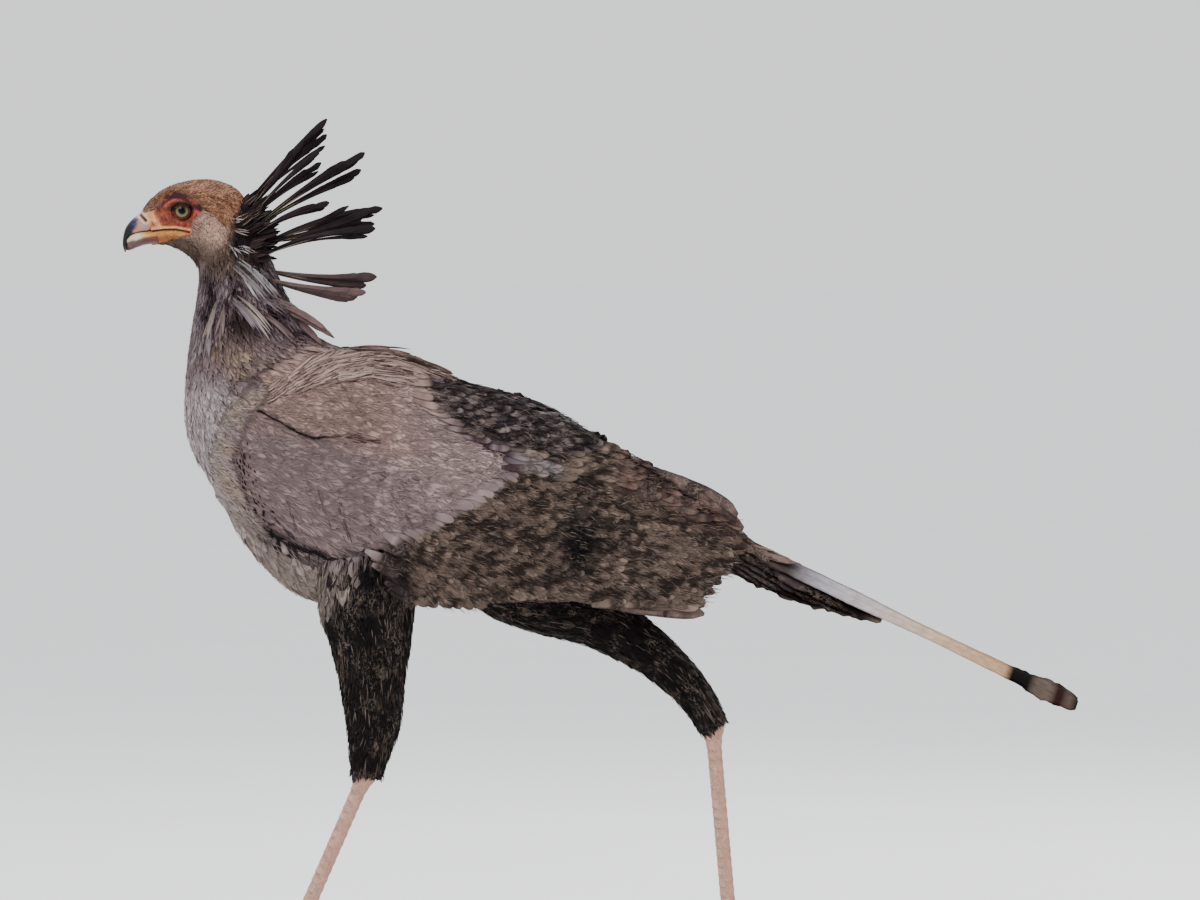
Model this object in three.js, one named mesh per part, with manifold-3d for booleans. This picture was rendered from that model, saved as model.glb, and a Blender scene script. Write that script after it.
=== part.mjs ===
// A secretary bird, Sagittarius serpentarius, as a still, life-size model that walks on level ground.
// Millimetres, +Z up. The bird faces -X and its left side is towards -Y.
// The origin is on the floor, under the middle of the bird's length.

import * as THREE from "three";
import { mergeVertices } from "three/addons/utils/BufferGeometryUtils.js";
import Module from "manifold-3d";

const wasm = await Module();
wasm.setup();

const LEFT = -1;
const RIGHT = 1;
const GAP = 0.3; // kept between nodes that touch
const HALF_SPACE = 1000; // the side of the blocks that cut away a half space
const BODY_SIDES = 22;
const BALL_SIDES = 14;
const BALL_ROWS = 8;
const FULLNESS = 0.92; // under 1, a section is fuller than an ellipse

// Sections of head, neck and torso, from the base of the bill to the root of the tail.
// Each spans from a point on the throat, breast and belly line to one on the crown, nape and back line.
// [front x, front z, back x, back z, half width, share of the way from front to back that is widest]
const SECTIONS = [
  [-515, 920, -515, 974, 14, 0.5],
  [-502, 921, -503, 984, 20, 0.54],
  [-488, 920, -483, 992, 25.5, 0.58],
  [-474, 912, -456, 996, 29.5, 0.6],
  [-463, 899, -432, 992, 30.5, 0.58],
  [-461, 882, -413, 980, 31, 0.54],
  [-463, 858, -396, 948, 33, 0.5],
  [-468, 826, -378, 902, 37, 0.5],
  [-473, 789, -359, 858, 43, 0.52],
  [-476, 751, -333, 820, 52, 0.56],
  [-476, 714, -295, 801, 64, 0.6],
  [-465, 678, -249, 798, 75, 0.6],
  [-440, 637, -202, 782, 82, 0.6],
  [-406, 575, -154, 762, 86, 0.58],
  [-345, 518, -106, 750, 86, 0.56],
  [-270, 508, -61, 734, 81, 0.55],
  [-190, 512, -19, 708, 71, 0.55],
  [-109, 511, 21, 683, 58, 0.55],
  [-29, 513, 63, 658, 44, 0.55],
  [46, 524, 109, 626, 31, 0.55],
  [115, 536, 153, 597, 21, 0.55],
  [155, 545, 178, 576, 12, 0.55],
];
const HEAD_END = 5;
const NAPE_END = 8.2;
const NECK_END = 10.4;
const TORSO_END = 19;
const BODY_END = 21;

const BROWN_GREY = 0x8a7b76;
const CROWN_BROWN = 0x9a7a66;
const BLACK = 0x2a2326;
const FLESH = 0xb98a78;
const HORN = 0x4b4a63;
const IVORY = 0xd8cfc0;
const DARK_HORN = 0x2c2826;
const IRIS = 0x8d8768;
const PALE_GREY = 0xa9a2a6;

const vec = (x, y, z) => new THREE.Vector3(x, y, z);
const lerp = THREE.MathUtils.lerp;
const clamp = THREE.MathUtils.clamp;
const radians = THREE.MathUtils.degToRad;

// A row of numbers at place t between the rows of a table, on a smooth curve through them.
function smoothRow(rows, t) {
  const i = clamp(Math.floor(t), 0, rows.length - 2);
  const f = t - i;
  const row = (k) => rows[clamp(k, 0, rows.length - 1)];
  const [a, b, c, d] = [row(i - 1), row(i), row(i + 1), row(i + 2)];
  return b.map((_, k) => {
    const linear = (c[k] - a[k]) * f;
    const square = (2 * a[k] - 5 * b[k] + 4 * c[k] - d[k]) * f ** 2;
    const cube = (3 * b[k] - a[k] - 3 * c[k] + d[k]) * f ** 3;
    return 0.5 * (2 * b[k] + linear + square + cube);
  });
}

// A closed solid from its points and triangles, turned to face out.
function solidOf(points, index) {
  let volume = 0;
  for (let i = 0; i < index.length; i += 3) {
    const [a, b, c] = [0, 1, 2].map((k) => points[index[i + k]]);
    volume += a.dot(vec(0, 0, 0).crossVectors(b, c));
  }
  const geometry = new THREE.BufferGeometry().setFromPoints(points);
  geometry.setIndex(index);
  const merged = mergeVertices(geometry, 1e-4);
  const triVerts = new Uint32Array(merged.index.array);
  if (volume < 0) triVerts.reverse();
  return new wasm.Manifold(
    new wasm.Mesh({ numProp: 3, vertProperties: merged.attributes.position.array, triVerts }),
  );
}

// A solid through rings of points, with a flat fan over each end.
function loft(rings) {
  const sides = rings[0].length;
  const points = rings.flat();
  const index = [];
  for (let j = 0; j + 1 < rings.length; j++) {
    for (let k = 0; k < sides; k++) {
      const a = j * sides + k;
      const b = j * sides + ((k + 1) % sides);
      index.push(a, b, b + sides, a, b + sides, a + sides);
    }
  }
  [0, rings.length - 1].forEach((j) => {
    const centre = points.length;
    points.push(rings[j].reduce((sum, p) => sum.add(p), vec(0, 0, 0)).divideScalar(sides));
    for (let k = 0; k < sides; k++) {
      const a = j * sides + k;
      const b = j * sides + ((k + 1) % sides);
      index.push(centre, j ? a : b, j ? b : a);
    }
  });
  return solidOf(points, index);
}

// A ring of an elliptical tube: its middle, the way it runs, a way to call up, and its half sizes.
function tubeRing(middle, along, up, halfUp, halfSide, sides) {
  const side = vec(0, 0, 0).crossVectors(along, up).normalize();
  const lift = vec(0, 0, 0).crossVectors(side, along).normalize();
  return Array.from({ length: sides }, (_, k) => {
    const angle = (2 * Math.PI * k) / sides;
    return middle
      .clone()
      .addScaledVector(lift, halfUp * Math.cos(angle))
      .addScaledVector(side, halfSide * Math.sin(angle));
  });
}

function tangentAt(path, j) {
  const next = path[Math.min(j + 1, path.length - 1)];
  return next.clone().sub(path[Math.max(j - 1, 0)]).normalize();
}

// A tube along a path, with a half size up and sideways at each of its points.
function tube(path, halfUps, halfSides, up, sides) {
  return loft(path.map((p, j) => tubeRing(p, tangentAt(path, j), up, halfUps[j], halfSides[j], sides)));
}

// A feather as a thin closed blade along a path, ridged along its shaft, with both faces split alike.
function vane(path, facings, halfWidths, thickness, crown = 0.14) {
  const edge = 0.5 * thickness;
  const points = path.flatMap((p, j) => {
    const along = tangentAt(path, j);
    const side = vec(0, 0, 0).crossVectors(along, facings[j]).normalize();
    const lift = vec(0, 0, 0).crossVectors(side, along).normalize();
    const half = halfWidths[j];
    const drop = crown * half;
    const outline = [
      [-half, edge / 2 - drop],
      [0, thickness / 2],
      [half, edge / 2 - drop],
      [half, -edge / 2 - drop],
      [0, -thickness / 2],
      [-half, -edge / 2 - drop],
    ];
    return outline.map(([s, l]) => p.clone().addScaledVector(side, s).addScaledVector(lift, l));
  });
  const index = [];
  for (let j = 0; j + 1 < path.length; j++) {
    const a = 6 * j;
    const b = a + 6;
    index.push(a, a + 1, b + 1, a, b + 1, b, a + 1, a + 2, b + 2, a + 1, b + 2, b + 1);
    index.push(a + 5, b + 4, a + 4, a + 5, b + 5, b + 4, a + 4, b + 3, a + 3, a + 4, b + 4, b + 3);
    index.push(a + 2, a + 3, b + 3, a + 2, b + 3, b + 2, a + 5, a, b, a + 5, b, b + 5);
  }
  const z = 6 * (path.length - 1);
  index.push(0, 5, 4, 0, 4, 1, 1, 4, 3, 1, 3, 2);
  index.push(z, z + 4, z + 5, z, z + 1, z + 4, z + 1, z + 3, z + 4, z + 1, z + 2, z + 3);
  return solidOf(points, index);
}

// A solid from one of the library's own geometries.
function solidFrom(geometry) {
  geometry.deleteAttribute("normal");
  geometry.deleteAttribute("uv");
  const merged = mergeVertices(geometry, 1e-3);
  const at = merged.attributes.position;
  const points = Array.from({ length: at.count }, (_, i) => vec(0, 0, 0).fromBufferAttribute(at, i));
  return solidOf(points, Array.from(merged.index.array));
}

const scaled = (widths, half) => widths.map((width) => width * half);
const join = (solids) => solids.reduce((all, s) => all.add(s));
const cut = (solid, cutters) => cutters.reduce((rest, cutter) => rest.subtract(cutter), solid);

// The largest closed surface of a solid, with any sealed hollow in it filled.
function largest(solid) {
  return solid.decompose().reduce((best, s) => (s.volume() > best.volume() ? s : best));
}

function ball(middle, radius) {
  const geometry = new THREE.SphereGeometry(radius, BALL_SIDES, BALL_ROWS);
  return solidFrom(geometry.rotateX(Math.PI / 2).translate(middle.x, middle.y, middle.z));
}

// Everything in front of a place along the bird's length.
function blockBefore(x) {
  const box = new THREE.BoxGeometry(HALF_SPACE, HALF_SPACE, HALF_SPACE);
  return solidFrom(box.translate(x - HALF_SPACE / 2, 0, HALF_SPACE / 2 + GAP));
}

// Everything under the floor.
function blockUnderFloor() {
  const box = new THREE.BoxGeometry(HALF_SPACE, HALF_SPACE, HALF_SPACE);
  return solidFrom(box.translate(0, 0, -HALF_SPACE / 2));
}

// The body's surface

function sectionAxes(t) {
  const [frontX, frontZ, backX, backZ, half, widest] = smoothRow(SECTIONS, t);
  const length = Math.hypot(backX - frontX, backZ - frontZ);
  const front = vec(frontX, 0, frontZ);
  const toBack = vec((backX - frontX) / length, 0, (backZ - frontZ) / length);
  return { front, toBack, length, half, bend: Math.log(widest) / Math.log(0.5) };
}

// A point on section t, at an angle from the back line towards a side, and a height out from the surface.
function bodyPoint(t, angle, side, out = 0) {
  const { front, toBack, length, half, bend } = sectionAxes(t);
  const share = ((1 + Math.cos(angle)) / 2) ** bend;
  const across = Math.sin(angle);
  const wide = (half + out) * Math.sign(across) * Math.abs(across) ** FULLNESS;
  return front
    .clone()
    .addScaledVector(toBack, length * share + out * Math.cos(angle))
    .add(vec(0, side * wide, 0));
}

// The angle at which section t passes a share of the way from its front to its back line.
function angleAt(t, share) {
  const { bend } = sectionAxes(t);
  return Math.acos(clamp(2 * clamp(share, 0, 1) ** (1 / bend) - 1, -1, 1));
}

// A section's ring, moved a little along the body from its own plane.
function bodyRing(t, out = 0, shift = 0) {
  const { toBack } = sectionAxes(t);
  const forward = vec(toBack.z, 0, -toBack.x).multiplyScalar(shift);
  return Array.from({ length: BODY_SIDES }, (_, k) =>
    bodyPoint(t, (2 * Math.PI * k) / BODY_SIDES, LEFT, out).add(forward),
  );
}

function stepsBetween(from, to, count) {
  return Array.from({ length: count + 1 }, (_, i) => lerp(from, to, i / count));
}

const HEAD_STEPS = stepsBetween(0, HEAD_END, 8);
const NAPE_STEPS = stepsBetween(HEAD_END, NAPE_END, 5);
const NECK_STEPS = stepsBetween(NAPE_END, NECK_END, 4);
const TORSO_STEPS = stepsBetween(NECK_END, TORSO_END, 12);
const RUMP_STEPS = stepsBetween(TORSO_END, BODY_END, 2);

function bodyLength(steps) {
  const last = steps.length - 1;
  const shift = (i) => (i === 0 ? GAP / 2 : i === last ? -GAP / 2 : 0);
  return loft(steps.map((t, i) => bodyRing(t, 0, shift(i))));
}

// Lengths of the body a little larger all round, to cut what lies on them.
const cutterOf = (steps) => loft(steps.map((t) => bodyRing(t, GAP)));
const headCutter = cutterOf(HEAD_STEPS);
const neckCutter = cutterOf(NECK_STEPS);
const torsoCutter = cutterOf(TORSO_STEPS);
const bodyCutter = cutterOf([...new Set([...NAPE_STEPS, ...NECK_STEPS, ...TORSO_STEPS, ...RUMP_STEPS])]);

// How far the body between two sections stands out at a place seen from the side, and 0 off its outline.
function sideOf(x, z, from, to) {
  const miss = (t) => {
    const { front, toBack } = sectionAxes(t);
    return toBack.x * (z - front.z) - toBack.z * (x - front.x);
  };
  if (miss(to) < 0) return 0;
  let low = from;
  let high = to;
  for (let i = 0; i < 30; i++) {
    const middle = (low + high) / 2;
    if (miss(middle) < 0) low = middle;
    else high = middle;
  }
  const { front, toBack, length } = sectionAxes(low);
  const share = ((x - front.x) * toBack.x + (z - front.z) * toBack.z) / length;
  if (share <= 0 || share >= 1) return 0;
  return Math.abs(bodyPoint(low, angleAt(low, share), LEFT).y);
}

const headSide = (x, z) => sideOf(x, z, 0, HEAD_END);
const bodySide = (x, z) => sideOf(x, z, HEAD_END, BODY_END);

// Head, eyes and bill

const FACE_X = -515;
const EYE = { x: -479, z: 960.5, radius: 10.5, proud: 2.4 }; // the eyeball, and how far it stands out
const EYE_OUT = headSide(EYE.x, EYE.z) + EYE.proud - EYE.radius;
const LIDS = { radius: 9.4, thick: 1.9, length: 1.14, height: 0.96, turn: radians(10), forward: 0.6 };
const LIDS_OUT = 6.8; // from the middle of the eye

// [x, z, half height, half depth] along the ridge over each eye.
const BROW = [
  [-502, 966.5, 1.6, 2.2],
  [-494, 972.5, 2.6, 3.4],
  [-484, 975.5, 3, 4],
  [-473, 972.5, 2.8, 3.8],
  [-463, 965.5, 2.2, 2.8],
  [-456, 958, 1, 1.2],
];

// [x, z, half height of the slit, distance up or down to the middle of each lip, half size of the lips]
// from the bill back to the corner of the mouth under the eye.
const MOUTH = [
  [FACE_X - 2, 936.2, 1.5, 2.9, 1.5],
  [-500, 938.4, 1.3, 2.9, 1.5],
  [-486, 938.6, 1, 2.9, 1.4],
  [-471, 935.6, 0.5, 1, 1],
];
const MOUTH_HEIGHT = 937;
const RIDGE_SINK = 0.5; // how far a ridge's middle line lies inside the head
const RIDGE_SIDES = 5;

const eyeMiddle = (side) => vec(EYE.x, side * EYE_OUT, EYE.z);

// The rim of both lids, a ring laid on the eyeball, longer than it is high and turned a little forward.
function lids(side) {
  const rim = new THREE.TorusGeometry(LIDS.radius, LIDS.thick, RIDGE_SIDES, 12);
  rim.rotateX(Math.PI / 2).scale(LIDS.length, 1, LIDS.height).rotateZ(side * LIDS.turn);
  return solidFrom(rim.translate(EYE.x - LIDS.forward, side * (EYE_OUT + LIDS_OUT), EYE.z));
}

// A ridge over the side of the head, through rows of [x, z, half height, half depth].
function headRidge(side, rows) {
  const path = rows.map(([x, z]) => vec(x, side * (headSide(x, z) - RIDGE_SINK), z));
  const halfUps = rows.map((row) => row[2]);
  const halfSides = rows.map((row) => row[3]);
  return tube(path, halfUps, halfSides, vec(0, 0, 1), RIDGE_SIDES);
}

function lip(side, above) {
  const row = ([x, z, , away, half]) => [Math.max(x, FACE_X + 1), z + above * away, half, half];
  return headRidge(side, MOUTH.map(row));
}

// The slit of the mouth, cut only as deep as the thickness of the cheek.
function mouthSlit() {
  const path = MOUTH.map(([x, z]) => vec(x, 0, z));
  const halfUps = MOUTH.map((row) => row[2]);
  const slit = tube(path, halfUps, path.map(() => 45), vec(0, 0, 1), 4);
  const insidePath = [vec(-502, 0, MOUTH_HEIGHT), vec(-460, 0, MOUTH_HEIGHT)];
  return slit.subtract(tube(insidePath, [8, 8], [13, 21], vec(0, 0, 1), 8));
}

function head() {
  const ridges = [LEFT, RIGHT].flatMap((side) => [
    headRidge(side, BROW),
    lids(side),
    lip(side, 1),
    lip(side, -1),
  ]);
  const sockets = [LEFT, RIGHT].map((side) => ball(eyeMiddle(side), EYE.radius + GAP));
  const front = blockBefore(FACE_X + GAP / 2);
  return cut(join([bodyLength(HEAD_STEPS), ...ridges]), [mouthSlit(), ...sockets, front]);
}

// [x, z on the ridge line, x, z on the cutting edge, half width] of the upper bill, from face to hook.
const UPPER_BILL = [
  [-515.15, 968, -515.15, 937.4, 13.5],
  [-522, 960.8, -521.5, 936.4, 12.8],
  [-531, 955.6, -529.5, 935.4, 11.4],
  [-539.5, 948.3, -535.5, 933.8, 9],
  [-545.5, 939.5, -540.2, 931.2, 6.6],
  [-548.2, 928.5, -543.3, 926.6, 4.4],
  [-548.3, 919.5, -544, 918.6, 3],
  [-546.2, 912.8, -544.7, 912.6, 1],
];

// The same of the lower bill, from the face to its blunt tip inside the hook.
const LOWER_BILL = [
  [-515.15, 934.8, -515.15, 921.8, 12],
  [-524, 934.3, -524, 920.4, 10.6],
  [-532, 933, -532, 917.8, 8.4],
  [-538, 930.2, -537.6, 915, 5.6],
  [-541.9, 924.8, -541.6, 914, 2.8],
];

function billRing([topX, topZ, lowX, lowZ, half]) {
  const middle = vec((topX + lowX) / 2, 0, (topZ + lowZ) / 2);
  const up = vec(topX - lowX, 0, topZ - lowZ);
  const along = vec(-up.z, 0, up.x);
  return tubeRing(middle, along, up, up.length() / 2, half, 14);
}

function bill(rows, steps) {
  return loft(stepsBetween(0, rows.length - 1, steps).map((t) => billRing(smoothRow(rows, t))));
}

// The slanting slit of a nostril: its upper and lower end on the left, and its half width there.
const NOSTRIL = { upper: [-528, 9.2, 954.5], lower: [-520, 12.6, 947.5], halves: [1.5, 1.7], depth: 4 };

function nostril(side) {
  const path = [NOSTRIL.upper, NOSTRIL.lower].map(([x, out, z]) => vec(x, side * out, z));
  return tube(path, NOSTRIL.halves, [NOSTRIL.depth, NOSTRIL.depth], vec(0, 1, 0), 6);
}

const upperBill = () => cut(bill(UPPER_BILL, 10), [nostril(LEFT), nostril(RIGHT)]);

// Crest

// [section of its root, rise above level, length, half width at its broad end, sideways reach, droop]
// of each feather on the left, from the crown down the nape.
const CREST = [
  [5.35, 46.5, 134, 7, 8, 4],
  [5.5, 50, 103, 6, 22, -3],
  [5.75, 45, 118, 7, 34, 5],
  [6.05, 31, 163, 8, 16, 4],
  [6.2, 20, 92, 7, 44, 6],
  [6.3, 12, 139, 7.5, 30, -8],
  [6.55, 9, 158, 7.5, 10, 6],
  [6.75, 6, 140, 9, 40, 16],
  [7.2, -8, 138, 8, 20, -7],
  [7.35, -13, 120, 8, 46, -5],
  [7.6, -19, 98, 9, 32, 8],
  [7.75, -27, 98, 8, 14, 6],
];
// The right feathers are a little shorter and lower, so that both sides show.
const RIGHT_CREST = { share: 0.9, lower: 5 };
const CREST_STATIONS = [0, 0.42, 0.74, 0.92, 1];
const CREST_WIDTHS = [0.34, 0.4, 1, 0.8, 0.25];
const CREST_SINK = 14;

function crestFeather([t, rise, length, half, reach, droop], side) {
  const { share, lower } = side === LEFT ? { share: 1, lower: 0 } : RIGHT_CREST;
  const angle = radians(rise - lower);
  const root = bodyPoint(t, radians(10 + reach / 2), side, -CREST_SINK);
  const way = vec(Math.cos(angle), 0, Math.sin(angle));
  const path = CREST_STATIONS.map((s) =>
    root
      .clone()
      .addScaledVector(way, s * (length * share + CREST_SINK))
      .add(vec(0, side * reach * s ** 1.5, droop * Math.sin(Math.PI * s))),
  );
  const facings = path.map((_, i) => vec(-0.3 * way.z, side, 0.5 + 0.3 * Math.sin(3 * t + i)));
  return vane(path, facings, scaled(CREST_WIDTHS, half), 1.3, 0.2);
}

function crest() {
  const far = CREST.filter((_, i) => i % 3 !== 1);
  return [...CREST.map((row) => crestFeather(row, LEFT)), ...far.map((row) => crestFeather(row, RIGHT))];
}

// Feathers

// Where the rows of a feather lie along it, and its half width there as a share of its widest.
const FLIGHT = { stations: [0, 0.45, 0.9, 1], widths: [0.6, 1, 0.85, 0.3] };
const SHORT = { stations: [0, 0.5, 0.88, 1], widths: [0.6, 1, 0.85, 0.3] };

// Tail

// The closed tail is one flat stack of feathers, rolled so that its left edge hangs lower.
// [length, height of the tip over the middle pair's line, sideways place of root and tip, half width]
// of each pair, from the middle out.
const TAIL_FEATHERS = [
  [511, 0, 2, 5, 28],
  [279, -3, 4, 10, 25],
  [226, -6, 5, 14, 24],
  [190, -8, 6, 17, 22],
  [156, -8, 7, 19, 20],
  [122, -6, 8, 20, 18],
];
const TAIL_ROOT = { x: 88, z: 614 };
const TAIL_SLOPE = radians(25.6);
const TAIL_ROLL = radians(23);
const TAIL_PITCH = 2.2; // from one feather of the stack to the next
const TAIL_THICK = 1.5;
const TAIL_STATIONS = [0, 0.25, 0.6, 0.92, 1];
const LONG_WIDTHS = [0.2, 0.66, 0.72, 1, 0.6];
const TAIL_WIDTHS = [0.2, 0.6, 1, 0.85, 0.35];

function tailFeather([length, rise, rootOut, tipOut, half], i, side) {
  const sideways = vec(0, Math.cos(TAIL_ROLL), Math.sin(TAIL_ROLL));
  const facing = vec(0, -Math.sin(TAIL_ROLL), Math.cos(TAIL_ROLL));
  const way = vec(Math.cos(TAIL_SLOPE), 0, -Math.sin(TAIL_SLOPE));
  const layer = 2 * i + (side === LEFT ? 0 : 1);
  const path = TAIL_STATIONS.map((s) =>
    vec(TAIL_ROOT.x, 0, TAIL_ROOT.z + rise * s)
      .addScaledVector(way, s * length)
      .addScaledVector(sideways, side * lerp(rootOut, tipOut, s))
      .addScaledVector(facing, -TAIL_PITCH * layer),
  );
  const widths = i === 0 ? LONG_WIDTHS : TAIL_WIDTHS;
  return vane(path, path.map(() => facing), scaled(widths, half), TAIL_THICK, 0);
}

// [section of the root, degrees from the back line, length, slope down in degrees, half width]
// of the coverts over and under the tail.
const TAIL_COVERTS = [
  [18.9, 20, 92, 25, 13],
  [18.8, 160, 112, 4, 15],
];

function tailCovert([t, turn, length, slope, half], side) {
  const root = bodyPoint(t, radians(turn), side, -1);
  const outward = bodyPoint(t, radians(turn), side, 3).sub(root).normalize();
  const way = vec(Math.cos(radians(slope)), -0.22 * root.y / 30, -Math.sin(radians(slope)));
  const path = SHORT.stations.map((s) => root.clone().addScaledVector(way, s * length));
  return vane(path, path.map(() => outward), scaled(SHORT.widths, half), 1.6, 0.2);
}

function tailPlumes() {
  return [LEFT, RIGHT].flatMap((side) => [
    ...TAIL_FEATHERS.map((row, i) => tailFeather(row, i, side)),
    ...TAIL_COVERTS.map((row) => tailCovert(row, side)),
  ]);
}

// Wings

// [section, share of the way from belly to back of the lower and of the upper edge] of the shield of coverts.
const SHIELD = [
  [9.7, 0.4, 0.62],
  [10.2, 0.22, 0.82],
  [11, 0.11, 0.9],
  [12, 0.07, 0.93],
  [13, 0.07, 0.95],
  [14, 0.13, 0.96],
  [14.7, 0.21, 0.95],
  [15.3, 0.3, 0.93],
];
const SHIELD_EDGE = 3.5; // how far it stands out of the body along its edges
const SHIELD_BULGE = 13; // and how much farther in its middle
const SHIELD_SINK = 5;

function shield(side) {
  const across = 7;
  const along = 8;
  const grid = (height) =>
    stepsBetween(0, 1, along).map((share) => {
      const [t, low, high] = smoothRow(SHIELD, share * (SHIELD.length - 1));
      const swell = Math.min(1, 0.55 + 3 * share, 1.9 - 1.5 * share);
      return stepsBetween(0, 1, across).map((v) => {
        const angle = lerp(angleAt(t, high), angleAt(t, low), v);
        return bodyPoint(t, angle, side, height(swell * Math.sqrt(Math.sin(Math.PI * v))));
      });
    });
  const outside = grid((swell) => SHIELD_EDGE + SHIELD_BULGE * swell);
  const inside = grid(() => -SHIELD_SINK);
  const points = [...outside, ...inside].flat();
  const row = across + 1;
  const layer = row * (along + 1);
  const index = [];
  const quad = (a, b, c, d) => index.push(a, b, c, a, c, d);
  for (let i = 0; i < along; i++) {
    for (let j = 0; j < across; j++) {
      const a = i * row + j;
      quad(a, a + 1, a + row + 1, a + row);
      quad(layer + a + 1, layer + a, layer + a + row, layer + a + row + 1);
    }
    const low = i * row;
    const high = low + across;
    quad(low, low + row, layer + low + row, layer + low);
    quad(high + row, high, layer + high, layer + high + row);
  }
  for (let j = 0; j < across; j++) {
    const near = j;
    const far = along * row + j;
    quad(near + 1, near, layer + near, layer + near + 1);
    quad(far, far + 1, layer + far + 1, layer + far);
  }
  return solidOf(points, index);
}

// The folded wing's inner face from the side: near the back it lies close in, and low down it stands out.
const WING_FRONT = { x: -200, top: 760, low: 548, topOut: 34, lowOut: 84 };
const WING_BACK = { x: 165, top: 612, low: 492, topOut: 18, lowOut: 47 };
const SOFTNESS = 5; // how sharply the wing's own face takes over from the body's side

function wingSide(x, z) {
  const share = clamp((x - WING_FRONT.x) / (WING_BACK.x - WING_FRONT.x), -0.5, 1.1);
  const along = (key) => lerp(WING_FRONT[key], WING_BACK[key], share);
  const down = clamp((along("top") - z) / (along("top") - along("low")), 0, 1.2);
  const face = lerp(along("topOut"), along("lowOut"), Math.sin((down * Math.PI) / 2));
  return (bodySide(x, z) ** SOFTNESS + face ** SOFTNESS) ** (1 / SOFTNESS);
}

const wingPoint = (x, z, side, out) => vec(x, side * (wingSide(x, z) + out), z);

function wingFacing(x, z, side) {
  const step = 6;
  const slopeX = (wingSide(x + step, z) - wingSide(x - step, z)) / (2 * step);
  const slopeZ = (wingSide(x, z + step) - wingSide(x, z - step)) / (2 * step);
  return vec(-slopeX, side, -slopeZ);
}

// Tiers of feathers. Roots and tips are [x, z] seen from the side, and each list gives the two ends of the
// line that they lie on. Outs are the heights over the wing's inner face at the same two ends.
const WING_TIERS = [
  {
    // primaries
    count: 4,
    roots: [[-206, 604], [-238, 572]],
    tips: [[140, 541], [119, 499]],
    outs: [6, 4],
    half: 19,
    bow: 4,
  },
  {
    // secondaries
    count: 8,
    roots: [[-128, 704], [-198, 614]],
    tips: [[166, 609], [148, 552]],
    outs: [8, 6],
    half: 21,
    bow: 10,
  },
  {
    // tertials
    count: 3,
    roots: [[-140, 744], [-122, 718]],
    tips: [[-42, 712], [46, 657]],
    outs: [11, 9],
    half: 22,
    bow: 5,
  },
  {
    // greater coverts, in two stretches
    count: 5,
    roots: [[-150, 712], [-240, 660]],
    tips: [[-12, 668], [-128, 628]],
    outs: [15, 17],
    half: 19,
    bow: 4,
  },
  {
    count: 4,
    roots: [[-262, 640], [-330, 596]],
    tips: [[-160, 606], [-250, 572]],
    outs: [18, 15],
    half: 19,
    bow: 3,
  },
  {
    // scapulars
    count: 3,
    roots: [[-318, 782], [-236, 744]],
    tips: [[-222, 779], [-112, 722]],
    outs: [13, 17],
    half: 22,
    bow: 3,
  },
];
const SHORT_LENGTH = 150; // a feather under this length is a covert
const COVERT_SINK = 2; // how much deeper a covert's root lies than the rest of it
const SHINGLE = 0.14; // each feather's lower edge stands out over the next one, by this share of its width
const WING_THICK = 1.2;

function wingFeather(root, tip, side, out, half, bow) {
  const place = (s) => [lerp(root[0], tip[0], s), lerp(root[1], tip[1], s) + bow * Math.sin(Math.PI * s)];
  const short = Math.hypot(tip[0] - root[0], tip[1] - root[1]) < SHORT_LENGTH;
  const { stations, widths } = short ? SHORT : FLIGHT;
  const sink = short ? COVERT_SINK : 0;
  const path = stations.map((s) => wingPoint(...place(s), side, out - sink * (1 - s) ** 4));
  const facings = stations.map((s) => wingFacing(...place(s), side).normalize().add(vec(0, 0, SHINGLE)));
  return vane(path, facings, scaled(widths, half), WING_THICK, 0.02);
}

function wingFeathers(side) {
  return WING_TIERS.flatMap(({ count, roots, tips, outs, half, bow }) =>
    stepsBetween(0, 1, count - 1).map((s, i) => {
      const on = ([from, to]) => from.map((value, k) => lerp(value, to[k], s));
      const ragged = 5 * Math.sin(2.4 * i + count);
      const [tipX, tipZ] = on(tips);
      return wingFeather(on(roots), [tipX + ragged, tipZ], side, lerp(...outs, s), half, bow);
    }),
  );
}

// Legs. The left leg leads, and the right one trails with its heel up.

// [x, z, distance from the middle plane, half depth, half width] of the feathered shin, from flank to heel.
const SHIN = {
  [LEFT]: [
    [-254, 610, 30, 46, 22],
    [-261, 566, 39, 56, 31],
    [-267, 513, 46, 54, 36],
    [-263, 467, 45, 44, 34],
    [-261, 421, 43, 35, 29],
    [-260, 375, 40, 29, 24],
    [-264, 342, 38, 22, 19],
    [-267, 318, 37, 16, 15],
  ],
  [RIGHT]: [
    [-160, 548, 28, 34, 22],
    [-109, 530, 40, 42, 30],
    [-63, 511, 46, 38, 34],
    [-6, 490, 47, 32, 29],
    [46, 459, 47, 26, 25],
    [82, 430, 46, 21.5, 21],
    [110, 399, 46, 18, 18],
    [130, 366, 45, 15, 15],
  ],
};
// The ball of each foot, and how far in front of it the toes reach the floor.
const FOOT = {
  [LEFT]: { ball: vec(-394, LEFT * 36, 27), reach: 14 },
  [RIGHT]: { ball: vec(158, RIGHT * 45, 49), reach: 39.5 },
};

function shinPath(side) {
  return SHIN[side].map(([x, z, apart]) => vec(x, side * apart, z));
}

function shin(side, grow = 0) {
  const path = shinPath(side);
  return tube(
    path,
    SHIN[side].map((row) => row[3] + grow),
    SHIN[side].map((row) => row[4] + grow),
    vec(-1, 0, 0),
    16,
  );
}

// Locks of feathers in a ring round the lower end of a shin.
const SHIN_LOCKS = { place: 6.2, count: 6, length: 42, half: 9.5 };
const LOCK_STATIONS = [0, 0.55, 1];
const LOCK_WIDTHS = [0.9, 1, 0.2];

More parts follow.
